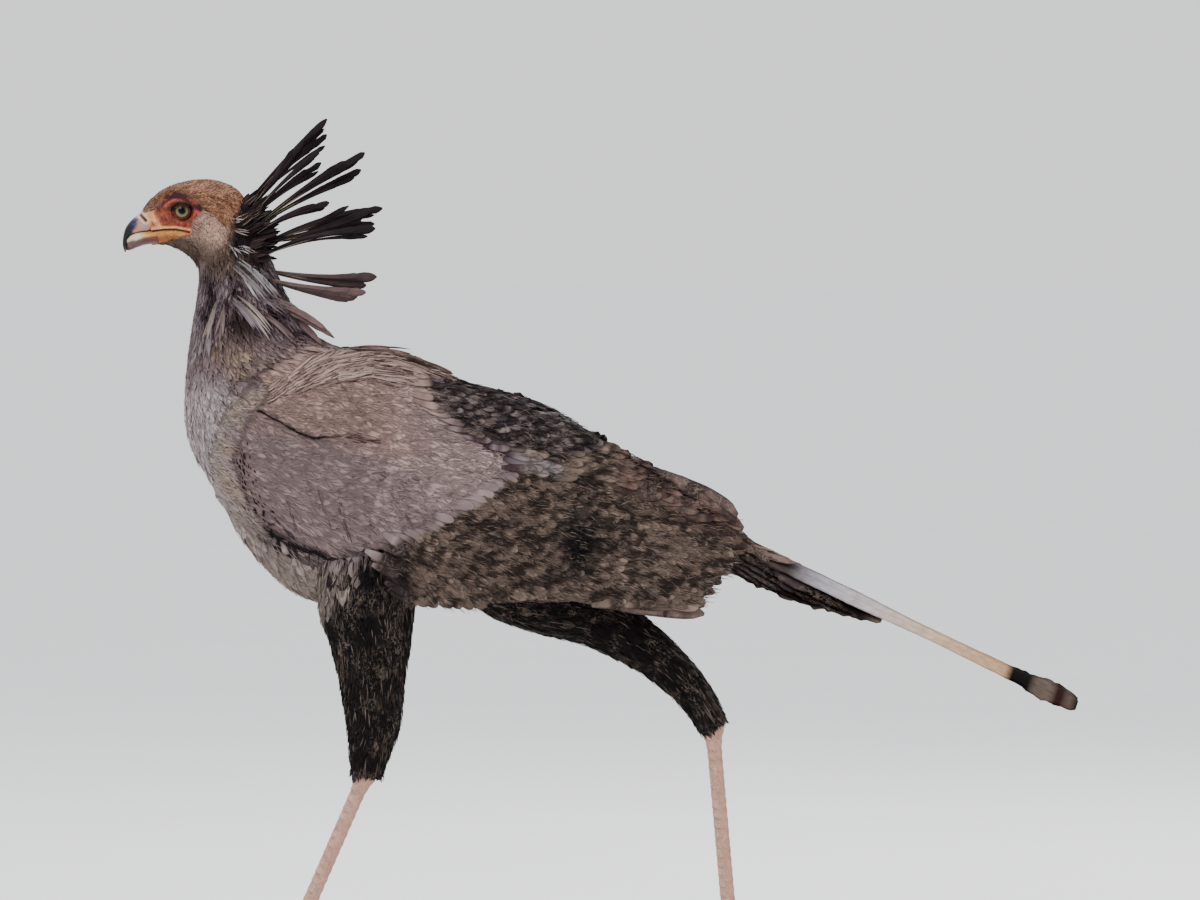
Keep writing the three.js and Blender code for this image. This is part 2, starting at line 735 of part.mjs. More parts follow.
function shinLocks(side) {
  const { place, count, length, half } = SHIN_LOCKS;
  const [x, z, apart, deep, wide] = smoothRow(SHIN[side], place);
  const along = tangentAt(shinPath(side), Math.round(place));
  const across = vec(0, 0, 0).crossVectors(along, vec(0, 1, 0)).normalize();
  return Array.from({ length: count }, (_, i) => {
    const turn = (2 * Math.PI * i) / count;
    const outward = vec(0, Math.sin(turn) * wide, 0).addScaledVector(across, Math.cos(turn) * deep);
    const reach = length * (1 + 0.22 * Math.sin(5 * i + side));
    const lock = LOCK_STATIONS.map((s) =>
      vec(x, side * apart, z)
        .addScaledVector(outward, 0.9 - 0.02 * s)
        .addScaledVector(along, s * reach - 4),
    );
    return vane(lock, lock.map(() => outward), scaled(LOCK_WIDTHS, half), 1.6, 0.2);
  });
}

// The bare shank runs from the heel to the ball of the foot, with a row of plates down its front.
const SHANK = { halfDeep: 8.6, halfWide: 7, sides: 10, plates: 13, plateLip: 1, plateEnd: 1.5 };
const PLATES_FROM_HEEL = 10;
const PLATES_FROM_FOOT = 4;
const JOINT = { heel: 5.5, foot: 3.5, reach: 16, pastEnd: 8 }; // how much the shank swells at its joints
const FOOT_START = 12; // where the foot takes over from the shank, over the ball

const jointSwell = (s) => Math.exp(-((s / JOINT.reach) ** 2));

function shankLine(side) {
  const top = shinPath(side).at(-1);
  const low = FOOT[side].ball;
  return { top, low, way: low.clone().sub(top).normalize(), length: top.distanceTo(low) - FOOT_START };
}

function shank(side, grow = 0) {
  const { top, way, length } = shankLine(side);
  const shinEnd = tangentAt(shinPath(side), SHIN[side].length - 1);
  const ring = (s, along, lip) => {
    const joint = JOINT.heel * jointSwell(s) + JOINT.foot * jointSwell(s - length - JOINT.pastEnd);
    const deep = SHANK.halfDeep + joint + lip + grow;
    const wide = SHANK.halfWide + joint + grow;
    return tubeRing(top.clone().addScaledVector(way, s), along, vec(-1, 0, 0), deep, wide, SHANK.sides);
  };
  const starts = stepsBetween(PLATES_FROM_HEEL, length - PLATES_FROM_FOOT, SHANK.plates);
  const plates = starts
    .slice(1)
    .flatMap((end, i) => [ring(starts[i], way, 0), ring(end - SHANK.plateEnd, way, SHANK.plateLip)]);
  const first = ring(0, shinEnd, 0).map((p) => p.addScaledVector(shinEnd, GAP));
  return loft([first, ...plates, ring(length, way, 0)]);
}

// [length, turn from straight ahead towards the outer side in degrees, half size at the root and at the tip]
const TOES = [
  [60, -30, 9, 6],
  [80, 0, 9.5, 6.2],
  [60, 30, 8.5, 5.8],
  [30, 188, 7, 5],
];
const TOE_SIDES = 8;
const SOLE_CUT = 0.8; // how much of a toe's round underside is flat on the floor
const SHORTEST_LEVEL = 16;
const KNUCKLES = [0.97, 1.06]; // a toe is thinner and thicker by turns
const TOE_UP = vec(0, 0.01, 1);

// The points along a toe: down from the ball of the foot, then flat along the floor.
// The hind toe of the trailing foot hangs clear of the floor.
function toePath(side, [length, turn, , tip]) {
  const { ball: start, reach } = FOOT[side];
  const way = vec(-Math.cos(radians(turn)), side * Math.sin(radians(turn)), 0);
  const at = (along, height) => start.clone().addScaledVector(way, along).setZ(height);
  if (side === RIGHT && turn > 90) {
    return stepsBetween(0, length, 3).map((s) => at(0.75 * s, start.z - 2 - 0.62 * s));
  }
  const flat = tip - SOLE_CUT;
  const slope = Math.hypot(reach, start.z - flat);
  const level = Math.max(length - slope, SHORTEST_LEVEL);
  return [
    at(0, start.z),
    at(0.55 * reach, lerp(start.z, flat, 0.5) + 1),
    at(reach, flat + 1.5),
    at(reach + 0.6 * level, flat),
    at(reach + level, flat),
  ];
}

function toe(side, row) {
  const path = toePath(side, row);
  const halves = path.map((_, j) => lerp(row[2], row[3], j / (path.length - 1)) * KNUCKLES[j % 2]);
  return tube(path, halves, halves, TOE_UP, TOE_SIDES);
}

// [distance past the ball, half depth, half width] of the short length of shank that the toes grow from.
const STUB = [
  [GAP - FOOT_START, 12, 10.5],
  [-4, 12.5, 12.5],
  [6, 9, 10],
];

function foot(side) {
  const { low, way } = shankLine(side);
  const path = STUB.map(([s]) => low.clone().addScaledVector(way, s));
  const halfDeeps = STUB.map((row) => row[1]);
  const halfWides = STUB.map((row) => row[2]);
  const stub = tube(path, halfDeeps, halfWides, vec(-1, 0, 0), SHANK.sides);
  return cut(join([stub, ...TOES.map((row) => toe(side, row))]), [blockUnderFloor()]);
}

// [share of its length, height over the toe's end on the floor and in the air, share of its size] of a claw.
const CLAW_ROWS = [
  [0, 0, 0, 1],
  [0.35, 0.6, 0.6, 0.86],
  [0.7, -1.6, -4.6, 0.56],
  [1, -3.6, -9.6, 0.13],
];
const CLAW = { length: 18, ofToe: 0.62, ofDepth: 0.8, onFloor: 12 };

function claw(side, row) {
  const path = toePath(side, row);
  const end = path.at(-1);
  const way = tangentAt(path, path.length - 1);
  const level = way.clone().setZ(0).normalize();
  const start = end.clone().addScaledVector(way, GAP);
  const curve = CLAW_ROWS.map(([share, onFloor, inAir]) =>
    start
      .clone()
      .addScaledVector(level, CLAW.length * share)
      .add(vec(0, 0, end.z < CLAW.onFloor ? onFloor : inAir)),
  );
  const rings = curve.map((p, j) => {
    const deep = row[3] * CLAW.ofToe * CLAW_ROWS[j][3];
    return tubeRing(p, j ? tangentAt(curve, j) : way, TOE_UP, deep, deep * CLAW.ofDepth, TOE_SIDES);
  });
  return loft(rings);
}

// The assembled bird

const bird = new THREE.Group();
bird.name = "secretary_bird";

function add(name, solid, colour, roughness = 0.8) {
  const mesh = largest(solid).getMesh();
  const geometry = new THREE.BufferGeometry();
  geometry.setAttribute("position", new THREE.BufferAttribute(mesh.vertProperties, mesh.numProp));
  geometry.setIndex(new THREE.BufferAttribute(mesh.triVerts, 1));
  geometry.computeVertexNormals();
  const material = new THREE.MeshStandardMaterial({ color: colour, roughness, metalness: 0 });
  const made = new THREE.Mesh(geometry, material);
  made.name = name;
  bird.add(made);
}

add("head", head(), CROWN_BROWN);
add("bill_upper", upperBill(), HORN, 0.4);
add("bill_lower", bill(LOWER_BILL, 6), IVORY, 0.4);
add("nape", cut(join([bodyLength(NAPE_STEPS), ...crest()]), [headCutter, neckCutter]), BLACK);
add("neck", bodyLength(NECK_STEPS), BROWN_GREY);
add("torso", bodyLength(TORSO_STEPS), BROWN_GREY);
add("tail", cut(join([bodyLength(RUMP_STEPS), ...tailPlumes()]), [torsoCutter]), PALE_GREY);
for (const [label, side] of [
  ["left", LEFT],
  ["right", RIGHT],
]) {
  add(`eye_${label}`, ball(eyeMiddle(side), EYE.radius), IRIS, 0.1);
  const wing = join([shield(side), ...wingFeathers(side)]);
  add(`wing_${label}`, cut(wing, [bodyCutter, shin(side, GAP)]), BROWN_GREY);
  const thigh = join([shin(side), ...shinLocks(side)]);
  add(`thigh_${label}`, cut(thigh, [bodyCutter, shank(side, GAP)]), BLACK);
  add(`shank_${label}`, shank(side), FLESH, 0.6);
  add(`foot_${label}`, foot(side), FLESH, 0.6);
  TOES.forEach((row, i) => add(`claw_${label}_${i + 1}`, claw(side, row), DARK_HORN, 0.4));
}

export default bird;
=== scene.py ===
"""The looks of a life-size secretary bird, from its skin to its claws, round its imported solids."""
import math

import bpy
import numpy as np
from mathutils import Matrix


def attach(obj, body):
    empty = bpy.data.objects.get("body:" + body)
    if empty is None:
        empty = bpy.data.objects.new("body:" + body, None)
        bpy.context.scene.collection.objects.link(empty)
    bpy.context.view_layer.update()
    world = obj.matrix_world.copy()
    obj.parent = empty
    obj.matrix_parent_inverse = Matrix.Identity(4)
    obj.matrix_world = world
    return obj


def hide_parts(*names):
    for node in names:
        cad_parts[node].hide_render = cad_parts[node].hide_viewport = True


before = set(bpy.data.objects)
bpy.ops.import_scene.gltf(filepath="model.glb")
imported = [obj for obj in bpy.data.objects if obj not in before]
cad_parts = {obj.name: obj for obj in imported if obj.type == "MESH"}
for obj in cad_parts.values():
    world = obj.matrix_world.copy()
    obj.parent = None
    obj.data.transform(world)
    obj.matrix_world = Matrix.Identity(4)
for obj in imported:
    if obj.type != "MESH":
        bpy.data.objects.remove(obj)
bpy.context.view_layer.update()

# Shapes are worked out in millimetres, +Z up. The bird faces -X, and its left side is towards -Y.
MM = 0.001
LEFT = -1
RIGHT = 1
SIDES = {"left": LEFT, "right": RIGHT}
FULLNESS = 0.92

# Sections of the body from the face to the tail's root:
# front x, front z, back x, back z, half width, share of the way from front to back that is widest.
SECTIONS = [
    (-515, 920, -515, 974, 14, 0.5),
    (-502, 921, -503, 984, 20, 0.54),
    (-488, 920, -483, 992, 25.5, 0.58),
    (-474, 912, -456, 996, 29.5, 0.6),
    (-463, 899, -432, 992, 30.5, 0.58),
    (-461, 882, -413, 980, 31, 0.54),
    (-463, 858, -396, 948, 33, 0.5),
    (-468, 826, -378, 902, 37, 0.5),
    (-473, 789, -359, 858, 43, 0.52),
    (-476, 751, -333, 820, 52, 0.56),
    (-476, 714, -295, 801, 64, 0.6),
    (-465, 678, -249, 798, 75, 0.6),
    (-440, 637, -202, 782, 82, 0.6),
    (-406, 575, -154, 762, 86, 0.58),
    (-345, 518, -106, 750, 86, 0.56),
    (-270, 508, -61, 734, 81, 0.55),
    (-190, 512, -19, 708, 71, 0.55),
    (-109, 511, 21, 683, 58, 0.55),
    (-29, 513, 63, 658, 44, 0.55),
    (46, 524, 109, 626, 31, 0.55),
    (115, 536, 153, 597, 21, 0.55),
    (155, 545, 178, 576, 12, 0.55),
]
HEAD_END = 5.0
BODY_END = 21.0


# Numbers and noise

def smooth(rows, t):
    """Rows of a table at places t between them, on a smooth curve through the rows."""
    rows = np.asarray(rows, float)
    t = np.asarray(t, float)
    i = np.clip(np.floor(t).astype(int), 0, len(rows) - 2)
    f = (t - i)[..., None]
    a, b, c, d = (rows[np.clip(i + k, 0, len(rows) - 1)] for k in (-1, 0, 1, 2))
    return 0.5 * (2 * b + (c - a) * f + (2 * a - 5 * b + 4 * c - d) * f**2 + (3 * b - a - 3 * c + d) * f**3)


def mix(a, b, share):
    return a + (b - a) * share


def step(low, high, value):
    """0 under low, 1 over high, and smooth between them."""
    x = np.clip((value - low) / (high - low), 0, 1)
    return x * x * (3 - 2 * x)


def unit(v):
    return v / np.maximum(np.linalg.norm(v, axis=-1, keepdims=True), 1e-9)


def bell(distance, width):
    return np.exp(-((distance / width) ** 2))


def lattice(cells):
    """A random number from 0 to 1 for each corner of a grid of whole numbers."""
    n = (cells[..., 0] * 374761393 + cells[..., 1] * 668265263 + cells[..., 2] * 2147483647) & 0xFFFFFFFF
    n = ((n ^ (n >> 13)) * 1274126177) & 0xFFFFFFFF
    return (n ^ (n >> 16)) / 0xFFFFFFFF


def noise(points, size):
    """Smooth noise from -1 to 1 at points, with lumps of about that size."""
    p = np.asarray(points, float) / size
    base = np.floor(p).astype(np.int64)
    f = p - base
    f = f * f * (3 - 2 * f)
    total = 0
    for corner in np.ndindex(2, 2, 2):
        weight = np.prod(np.where(np.array(corner), f, 1 - f), axis=-1)
        total = total + weight * lattice(base + corner)
    return 2 * total - 1


def reach_along(points):
    """How far along a line of points each of them lies."""
    return np.concatenate([[0], np.cumsum(np.linalg.norm(np.diff(points, axis=0), axis=-1))])


def turns(sides):
    """Even angles round a ring."""
    return np.linspace(0, 2 * np.pi, sides, endpoint=False)


def line_distance(x, z, line, closed=False):
    """The distance of places from a line of points, and the share of the line where each is nearest."""
    points = np.asarray(line, float)
    if closed:
        points = np.vstack([points, points[:1]])
    steps = np.linalg.norm(np.diff(points, axis=0), axis=1)
    starts = np.concatenate([[0], np.cumsum(steps)])
    best = np.full(np.shape(x), np.inf)
    share = np.zeros(np.shape(x))
    for (ax, az), (bx, bz), length, start in zip(points[:-1], points[1:], steps, starts):
        along = np.clip(((x - ax) * (bx - ax) + (z - az) * (bz - az)) / length**2, 0, 1)
        distance = np.hypot(x - mix(ax, bx, along), z - mix(az, bz, along))
        nearer = distance < best
        best = np.where(nearer, distance, best)
        share = np.where(nearer, (start + along * length) / starts[-1], share)
    return best, share


def depth_in(x, z, outline):
    """The distance of places from an outline's edge, over 0 inside it and under 0 outside."""
    points = np.asarray(outline, float)
    inside = np.zeros(np.shape(x), bool)
    for (ax, az), (bx, bz) in zip(points, np.roll(points, -1, axis=0)):
        if az != bz:
            crosses = (az > z) != (bz > z)
            inside ^= crosses & (x < ax + (z - az) * (bx - ax) / (bz - az))
    return line_distance(x, z, outline, closed=True)[0] * np.where(inside, 1, -1)


# The body's surface

def section(t):
    """Where section t starts at the front, its way to the back, its length, half width and bend."""
    rows = smooth(SECTIONS, np.clip(t, 0, BODY_END))
    front = rows[..., 0:2]
    across = rows[..., 2:4] - front
    length = np.linalg.norm(across, axis=-1)
    return front, across / length[..., None], length, rows[..., 4], np.log(rows[..., 5]) / np.log(0.5)


def body(t, angle, out=0.0):
    """Points on the body. The angle runs from the back line, over 0 to the left and under 0 to the right."""
    t, angle, out = np.broadcast_arrays(np.asarray(t, float), angle, out)
    front, way, length, half, bend = section(t)
    share = ((1 + np.cos(angle)) / 2) ** bend
    across = np.sin(angle)
    along = length * share + out * np.cos(angle)
    past = np.maximum(t - BODY_END, 0) * 45
    return np.stack(
        [
            front[..., 0] + way[..., 0] * along + past * 0.9,
            -(half + out) * np.sign(across) * np.abs(across) ** FULLNESS,
            front[..., 1] + way[..., 1] * along - past * 0.43,
        ],
        axis=-1,
    )


def body_axes(t, angle):
    """Unit vectors out of the body, and the length of one section there."""
    small = 1e-3
    along = (body(t + small, angle) - body(t - small, angle)) / (2 * small)
    around = body(t, angle + small) - body(t, angle - small)
    return unit(np.cross(around, along)), np.linalg.norm(along, axis=-1)


def angle_at(t, share):
    """The angle at which section t passes a share of the way from front to back."""
    bend = section(t)[4]
    return np.arccos(np.clip(2 * np.clip(share, 0, 1) ** (1 / bend) - 1, -1, 1))


def place_on_body(x, z, low=0.0, high=BODY_END):
    """The section and the angle of places seen from the left, kept on the body's outline."""
    x, z = np.broadcast_arrays(np.asarray(x, float), z)
    low = np.full(x.shape, low)
    high = np.full(x.shape, high)
    for _ in range(26):
        middle = (low + high) / 2
        front, way = section(middle)[:2]
        behind = way[..., 0] * (z - front[..., 1]) - way[..., 1] * (x - front[..., 0]) < 0
        low = np.where(behind, middle, low)
        high = np.where(behind, high, middle)
    front, way, length, _, _ = section(low)
    share = ((x - front[..., 0]) * way[..., 0] + (z - front[..., 1]) * way[..., 1]) / length
    return low, angle_at(low, share), share


def side_at(x, z, low=0.0, high=BODY_END):
    """How far the body stands out at places seen from the side, and 0 off its outline."""
    t, angle, share = place_on_body(x, z, low, high)
    return np.where((share > 0) & (share < 1), np.abs(body(t, angle)[..., 1]), 0)


# Meshes from arrays

class Shape:
    """The vertices, faces and values of one piece, gathered from its parts."""

    def __init__(self):
        self.verts, self.quads, self.tris, self.layers, self.count = [], [], [], [], 0

    def add(self, verts, quads=(), tris=(), vane=(0, 0, 0), tint=(0.5, 0.5, 0.5), mark=0.0, bake=(0.5, 0.5),
            lie=(0, 0, 0)):
        n = len(verts)
        self.verts.append(verts)
        self.quads.append(np.reshape(quads, (-1, 4)).astype(int) + self.count)
        self.tris.append(np.reshape(tris, (-1, 3)).astype(int) + self.count)
        layers = ((vane, 3), (tint, 3), (mark, 1), (bake, 2), (lie, 3))
        self.layers.append([np.broadcast_to(values, (n, width)) for values, width in layers])
        self.count += n

    def add_tube(self, rings, flip=False, **values):
        """Adds a closed tube of rings of points, with values point by point. Its faces may be flipped."""
        faces, caps = tube_faces(*rings.shape[:2]), end_caps(*rings.shape[:2])
        if flip:
            faces, caps = faces[..., ::-1], caps[:, ::-1]
        flat = {key: value.reshape(-1, 1 if key == "mark" else 3) for key, value in values.items()}
        self.add(rings.reshape(-1, 3), faces, caps, **flat)

    def build(self, name, material, baked=False):
        verts = np.concatenate(self.verts) * MM
        quads = np.concatenate(self.quads)
        tris = np.concatenate(self.tris)
        vane, tint, mark, bake, lie = (np.concatenate(rows) for rows in zip(*self.layers))
        corners = np.concatenate([quads.ravel(), tris.ravel()])
        starts = np.concatenate([np.arange(len(quads)) * 4, len(quads) * 4 + np.arange(len(tris)) * 3])
        mesh = bpy.data.meshes.new(name)
        mesh.vertices.add(len(verts))
        mesh.vertices.foreach_set("co", verts.ravel())
        mesh.loops.add(len(corners))
        mesh.loops.foreach_set("vertex_index", corners)
        mesh.polygons.add(len(starts))
        mesh.polygons.foreach_set("loop_start", starts)
        mesh.polygons.foreach_set("use_smooth", np.ones(len(starts), bool))
        mesh.update(calc_edges=True)
        set_layer(mesh, "vane", "FLOAT_VECTOR", "vector", vane)
        set_layer(mesh, "tint", "FLOAT_COLOR", "color", np.column_stack([tint, np.ones(len(tint))]))
        set_layer(mesh, "mark", "FLOAT", "value", mark)
        set_layer(mesh, "lie", "FLOAT_VECTOR", "vector", lie)
        if baked:
            layer = mesh.uv_layers.new(name="OFBake")
            layer.data.foreach_set("uv", bake[corners].ravel())
        mesh.materials.append(material)
        return new_object(name, mesh)


def new_object(name, data):
    made = bpy.data.objects.new(name, data)
    bpy.context.scene.collection.objects.link(made)
    return made

def set_layer(mesh, name, kind, key, values):
    layer = mesh.attributes.new(name, kind, "POINT")
    layer.data.foreach_set(key, np.asarray(values, np.float32).ravel())


def tube_faces(rings, sides):
    """Quads between rings of points, facing out where each ring runs anticlockwise seen from its end."""
    s, k = np.meshgrid(np.arange(rings - 1), np.arange(sides), indexing="ij")
    after = (k + 1) % sides
    return np.stack([s * sides + k, s * sides + after, (s + 1) * sides + after, (s + 1) * sides + k], -1)


def end_caps(rings, sides):
    """Triangles over both ends of a tube of rings."""
    k = np.arange(1, sides - 1)
    last = (rings - 1) * sides
    first = np.stack([0 * k, k + 1, k], -1)
    return np.concatenate([first, np.stack([0 * k, k, k + 1], -1) + last])


# How large a feather is on its coat's map, and how far its barbs lean towards the tip.
MAP_PATCH = 0.003
BARB_LEAN = 0.8
# Cross sections of feathers: the places of their vertices from edge to edge, above and underneath.
BARB = {"across": (-1, 0, 1), "under": ()}
BLADE = {"across": (-1, -0.66, -0.33, 0, 0.33, 0.66, 1), "under": (0.5, 0, -0.5)}

def vanes(shape, middle, normal, half, tint, mark=0.0, across=(-1, -0.5, 0, 0.5, 1), under=(0,),
          thick=0.5, camber=0.12, bake=None, edge=None):
    """Adds thin closed feathers. middle and normal hold xyz by feather and station, and half the widths.
    edge is a colour for their rims, and how much of it each station takes."""
    count, stations = half.shape
    tangent = unit(np.gradient(middle, axis=1))
    side = unit(np.cross(tangent, normal))
    lift = np.cross(side, tangent)
    places = np.array([*across, *under], float)
    ring = len(places)
    rise = np.where(np.arange(ring) < len(across), 0.5, -0.5) * thick
    rise[[0, len(across) - 1]] = 0 if under else -0.5 * thick
    wide = half[:, :, None] * places
    up = rise - camber * half[:, :, None] * places**2
    verts = middle[:, :, None] + side[:, :, None] * wide[..., None] + lift[:, :, None] * up[..., None]
    steps = np.linalg.norm(np.diff(middle, axis=1), axis=-1)
    length = np.concatenate([np.zeros((count, 1)), np.cumsum(steps, axis=1)], axis=1)
    along = length / length[:, -1:]
    full = (count, stations, ring)
    reach = length[:, :, None] - BARB_LEAN * np.abs(wide)
    vane = np.stack(np.broadcast_arrays(places, along[:, :, None], reach), -1)
    tint = np.asarray(tint, float)
    if tint.ndim == 2:
        tint = tint[:, None]
    if tint.ndim == 3:
        tint = tint[:, :, None]
    if edge is not None:
        tint = np.broadcast_to(tint, full + (3,)).copy()
        rims = tint[:, :, [0, len(across) - 1]]
        tint[:, :, [0, len(across) - 1]] = mix(rims, edge[0], edge[1][..., None, None])
    mark = np.asarray(mark, float)
    mark = mark.reshape(mark.shape + (1,) * (3 - mark.ndim)) if mark.ndim else mark
    if bake is None:
        bake = np.full((count, 2), 0.5)
    spot = np.stack([np.broadcast_to(places / 2, full), np.broadcast_to(along[:, :, None] - 0.5, full)], -1)
    spot = bake[:, None, None] + MAP_PATCH * spot
    offsets = (np.arange(count) * stations * ring)[:, None, None]
    quads = tube_faces(stations, ring).reshape(1, -1, 4) + offsets
    tris = end_caps(stations, ring)[None] + offsets
    shape.add(
        verts.reshape(-1, 3),
        quads,
        tris,
        vane=vane.reshape(-1, 3),
        tint=np.broadcast_to(tint, full + (3,)).reshape(-1, 3),
        mark=np.broadcast_to(mark, full).reshape(-1, 1),
        bake=spot.reshape(-1, 2),
        lie=np.broadcast_to(unit(np.asarray(normal, float))[:, :, None], full + (3,)).reshape(-1, 3),
    )


# Colours by place

LIGHT_GAIN = 0.7
SATURATION = 1.12


def rgb(code):
    """A colour as the eye sees it, such as "8a7b7c", as the albedo that shows it in this studio's light."""
    c = np.array([int(code[i : i + 2], 16) for i in (0, 2, 4)]) / 255
    c = np.where(c <= 0.04045, c / 12.92, ((c + 0.055) / 1.055) ** 2.4)
    grey = c @ np.array([0.21, 0.72, 0.07])
    return np.maximum(grey + SATURATION * (c - grey), 0) * LIGHT_GAIN


BARE_FACE = [
    (-530, 966), (-511, 966), (-505, 976), (-493, 981), (-481, 982), (-469, 977.5), (-459, 969.5),
    (-454.5, 962), (-459, 956), (-467, 950), (-468, 940), (-469, 934), (-487, 928), (-500, 924), (-530, 916),
]
CROWN = [*BARE_FACE[:8], (-436, 952), (-420, 950), (-404, 962), (-404, 1010), (-530, 1010)]
BLACK_BACK = [
    (-204, 790), (-150, 790), (-60, 770), (20, 700), (-6, 684), (-46, 683), (-92, 688), (-140, 706),
    (-184, 736),
]
# The grey coverts of the folded wing end along this line, over the black flight feathers.
COVERT_EDGE = [
    (-407, 611), (-370, 594), (-340, 579), (-310, 569), (-278, 566), (-254, 577), (-215, 587), (-186, 597),
    (-138, 626), (-110, 646), (-86, 662),
]
COVERTS = [
    *COVERT_EDGE,
    (-82, 680), (-98, 687), (-142, 706), (-184, 736), (-197, 764), (-250, 790), (-330, 800), (-392, 768),
    (-425, 725), (-441, 675), (-432, 635),
]
LILAC_BAND = [(-92, 679), (-70, 671), (-48, 663)]
# The fold across the coverts; the dark barbs along it and the darker coverts under it are painted shade.
CREASE = [
    (-388, 735), (-381, 733), (-364, 724), (-340, 711), (-323, 703), (-310, 706), (-293, 705), (-250, 696),
]
# The wing's lower edge over the belly; the dark line along it, on the belly and in dark barbs, is painted
# shadow.
WING_FOOT = [(-400, 611), (-368, 593), (-340, 578), (-310, 567), (-282, 562)]
# A groove over the brow; the dark line laid along it is painted shade.
EYEBROW_CREASE = [
    (-507, 965), (-500, 973), (-490, 978), (-481, 977.6), (-472, 974), (-464, 968.5), (-457, 962),
]
# Dark patches of the neck: x, z, half width and half height.
NECK_PATCHES = [
    (-415, 832, 15, 13), (-380, 851, 15, 8), (-420, 872, 9, 4), (-396, 909, 13, 8), (-445, 872, 5, 20),
]


class Layers:
    """Colours at points, with others laid over them one by one, each by an amount from 0 to 1."""

    def __init__(self, code, shape):
        self.colour = np.broadcast_to(rgb(code), shape + (3,))

    def lay(self, code, amount):
        self.colour = mix(self.colour, rgb(code), np.clip(amount, 0, 1)[..., None])


def paint(points):
    """The plumage's colour at points on the bird, by where they are seen from either side, with a painted
    shadow under the wing's lower edge.
    """
    x, y, z = np.moveaxis(np.asarray(points, float), -1, 0)
    folded = np.stack([x, np.abs(y), z], -1)
    fine, middle, broad = noise(folded, 5), noise(folded, 12), noise(folded, 30)
    streak = noise(folded * np.array([0.3, 1, 1.2]), 2.4)
    layers = Layers("7c6e6e", x.shape)
    lay = layers.lay
    head = step(878, 900, z) * step(-395, -412, x)
    lay("76655b", head)
    lay("b19182", head * bell(x + 445, 21) * bell(z - 945, 17))
    lay("574840", head * step(934, 914, z))
    crown = step(-1.5, 1.5, depth_in(x, z, CROWN)) * head
    lay("8c634d", crown)
    lay("a98470", crown * step(972, 994, z + 5 * broad) * 0.7)
    lay("583a2d", crown * step(0.05, 0.5, streak) * 0.7)
    lay("b0937f", crown * step(0.1, 0.6, -streak) * 0.35)
    lay("5d3f33", crown * bell(depth_in(x, z, CROWN), 3) * 0.7)
    lay("3d2d22", head * bell(line_distance(x, z, [(-421, 962), (-424, 942), (-430, 926)])[0], 3.2) * 0.75)
    lay("190f12", step(-427, -419, x - 0.12 * (z - 945)) * step(912, 924, z) * step(972, 962, z))
    neck = step(905, 880, z) * step(770, 800, z + 0.35 * (x + 470))
    lay("6f6164", neck)
    lay("2e1d24", neck * step(-0.15, 0.3, middle + 0.6 * fine) * 0.95)
    lay("8b8083", neck * step(-452, -468, x) * 0.7)
    for px, pz, wide, high in NECK_PATCHES:
        lay("1c0f15", bell((x - px) / wide, 1) * bell((z - pz) / high, 1) * 1.5)
    collar = bell((x + 417) / 34, 1) * bell((z - 800) / 24, 1)
    lay("998175", collar * (0.6 + 0.4 * fine))
    lay("a3967f", collar * step(0.2, 0.6, middle) * 0.4)
    breast = step(-412, -440, x + 0.12 * (z - 700)) * step(795, 755, z)
    lay("aa9d9f", breast)
    lay("a3968c", bell(line_distance(x, z, [(-417, 738), (-442, 672), (-412, 606)])[0], 12) * 0.8)
    belly = step(600, 560, z + 0.3 * (x + 330)) * step(-246, -262, x)
    lay("93857e", belly)
    lay("6b5d58", belly * step(0.1, 0.6, middle) * 0.5)
    # Painted shadow on the belly under the wing's lower edge.
    lay("1a0f13", bell(line_distance(x, z, WING_FOOT)[0], 6))
    mantle = step(735, 765, z + 0.3 * (x + 300)) * step(826, 806, z)
    mantle = mantle * step(-390, -340, x) * step(-150, -200, x)
    lay("957e78", mantle)
    lay("4c3837", mantle * step(0.1, 0.5, middle) * 0.5)
    rear = step(-262, -246, x - 0.3 * (z - 560)) * (1 - step(-3, 3, depth_in(x, z, COVERTS)))
    wavy = noise(np.stack([x + 0.5 * z, 0 * x, 2.6 * z - x], -1), 12) + 0.35 * fine
    lay("73635a", rear)
    lay("19100f", rear * step(-0.15, 0.25, 0.7 * wavy + 0.4 * middle + 0.35 * broad) * 0.88)
    lay("160e10", step(-205, -222, x) * step(600, 588, z) * rear * 0.9)
    lay("0c0709", bell((x + 24) / 22, 1) * bell((z - 580) / 42, 1) * 1.2 * rear)
    black = step(-5, 5, depth_in(x, z, BLACK_BACK))
    lay("20171b", black)
    lay("766a68", black * step(0.05, 0.5, wavy) * 0.75)
    lay("857b7c", step(12, 3, line_distance(x, z, LILAC_BAND)[0]) * 0.6)
    rump = step(10, 30, x) * step(598, 622, z + 0.45 * (x - 90))
    lay("695650", rump * 0.85)
    lay("211617", rump * step(-0.2, 0.25, 0.6 * wavy + 0.5 * middle) * 0.8)
    lay("604038", rump * step(0.2, 0.6, -middle) * 0.45)
    return layers.colour


def creases(x, z):
    """Wrinkles of the bare face, from 0 on its smooth parts to 1 at the bottom of a crease."""
    away = np.hypot(x - EYE["x"], z - EYE["z"])
    place = np.stack([x, 0 * x, z], -1)
    rings = np.sin(1.5 * away + 5 * noise(place, 8) + 2.2 * noise(place + 50, 3.2))
    slant = np.stack([0.5 * x, 0 * x, z - 0.35 * x], -1)
    folds = 0.55 * step(0.2, 0.95, rings) + 0.6 * step(0.7, 1, 1 - np.abs(noise(slant, 2.8)))
    return np.minimum(folds, 1) * step(-0.8, 0.4, noise(place, 5))


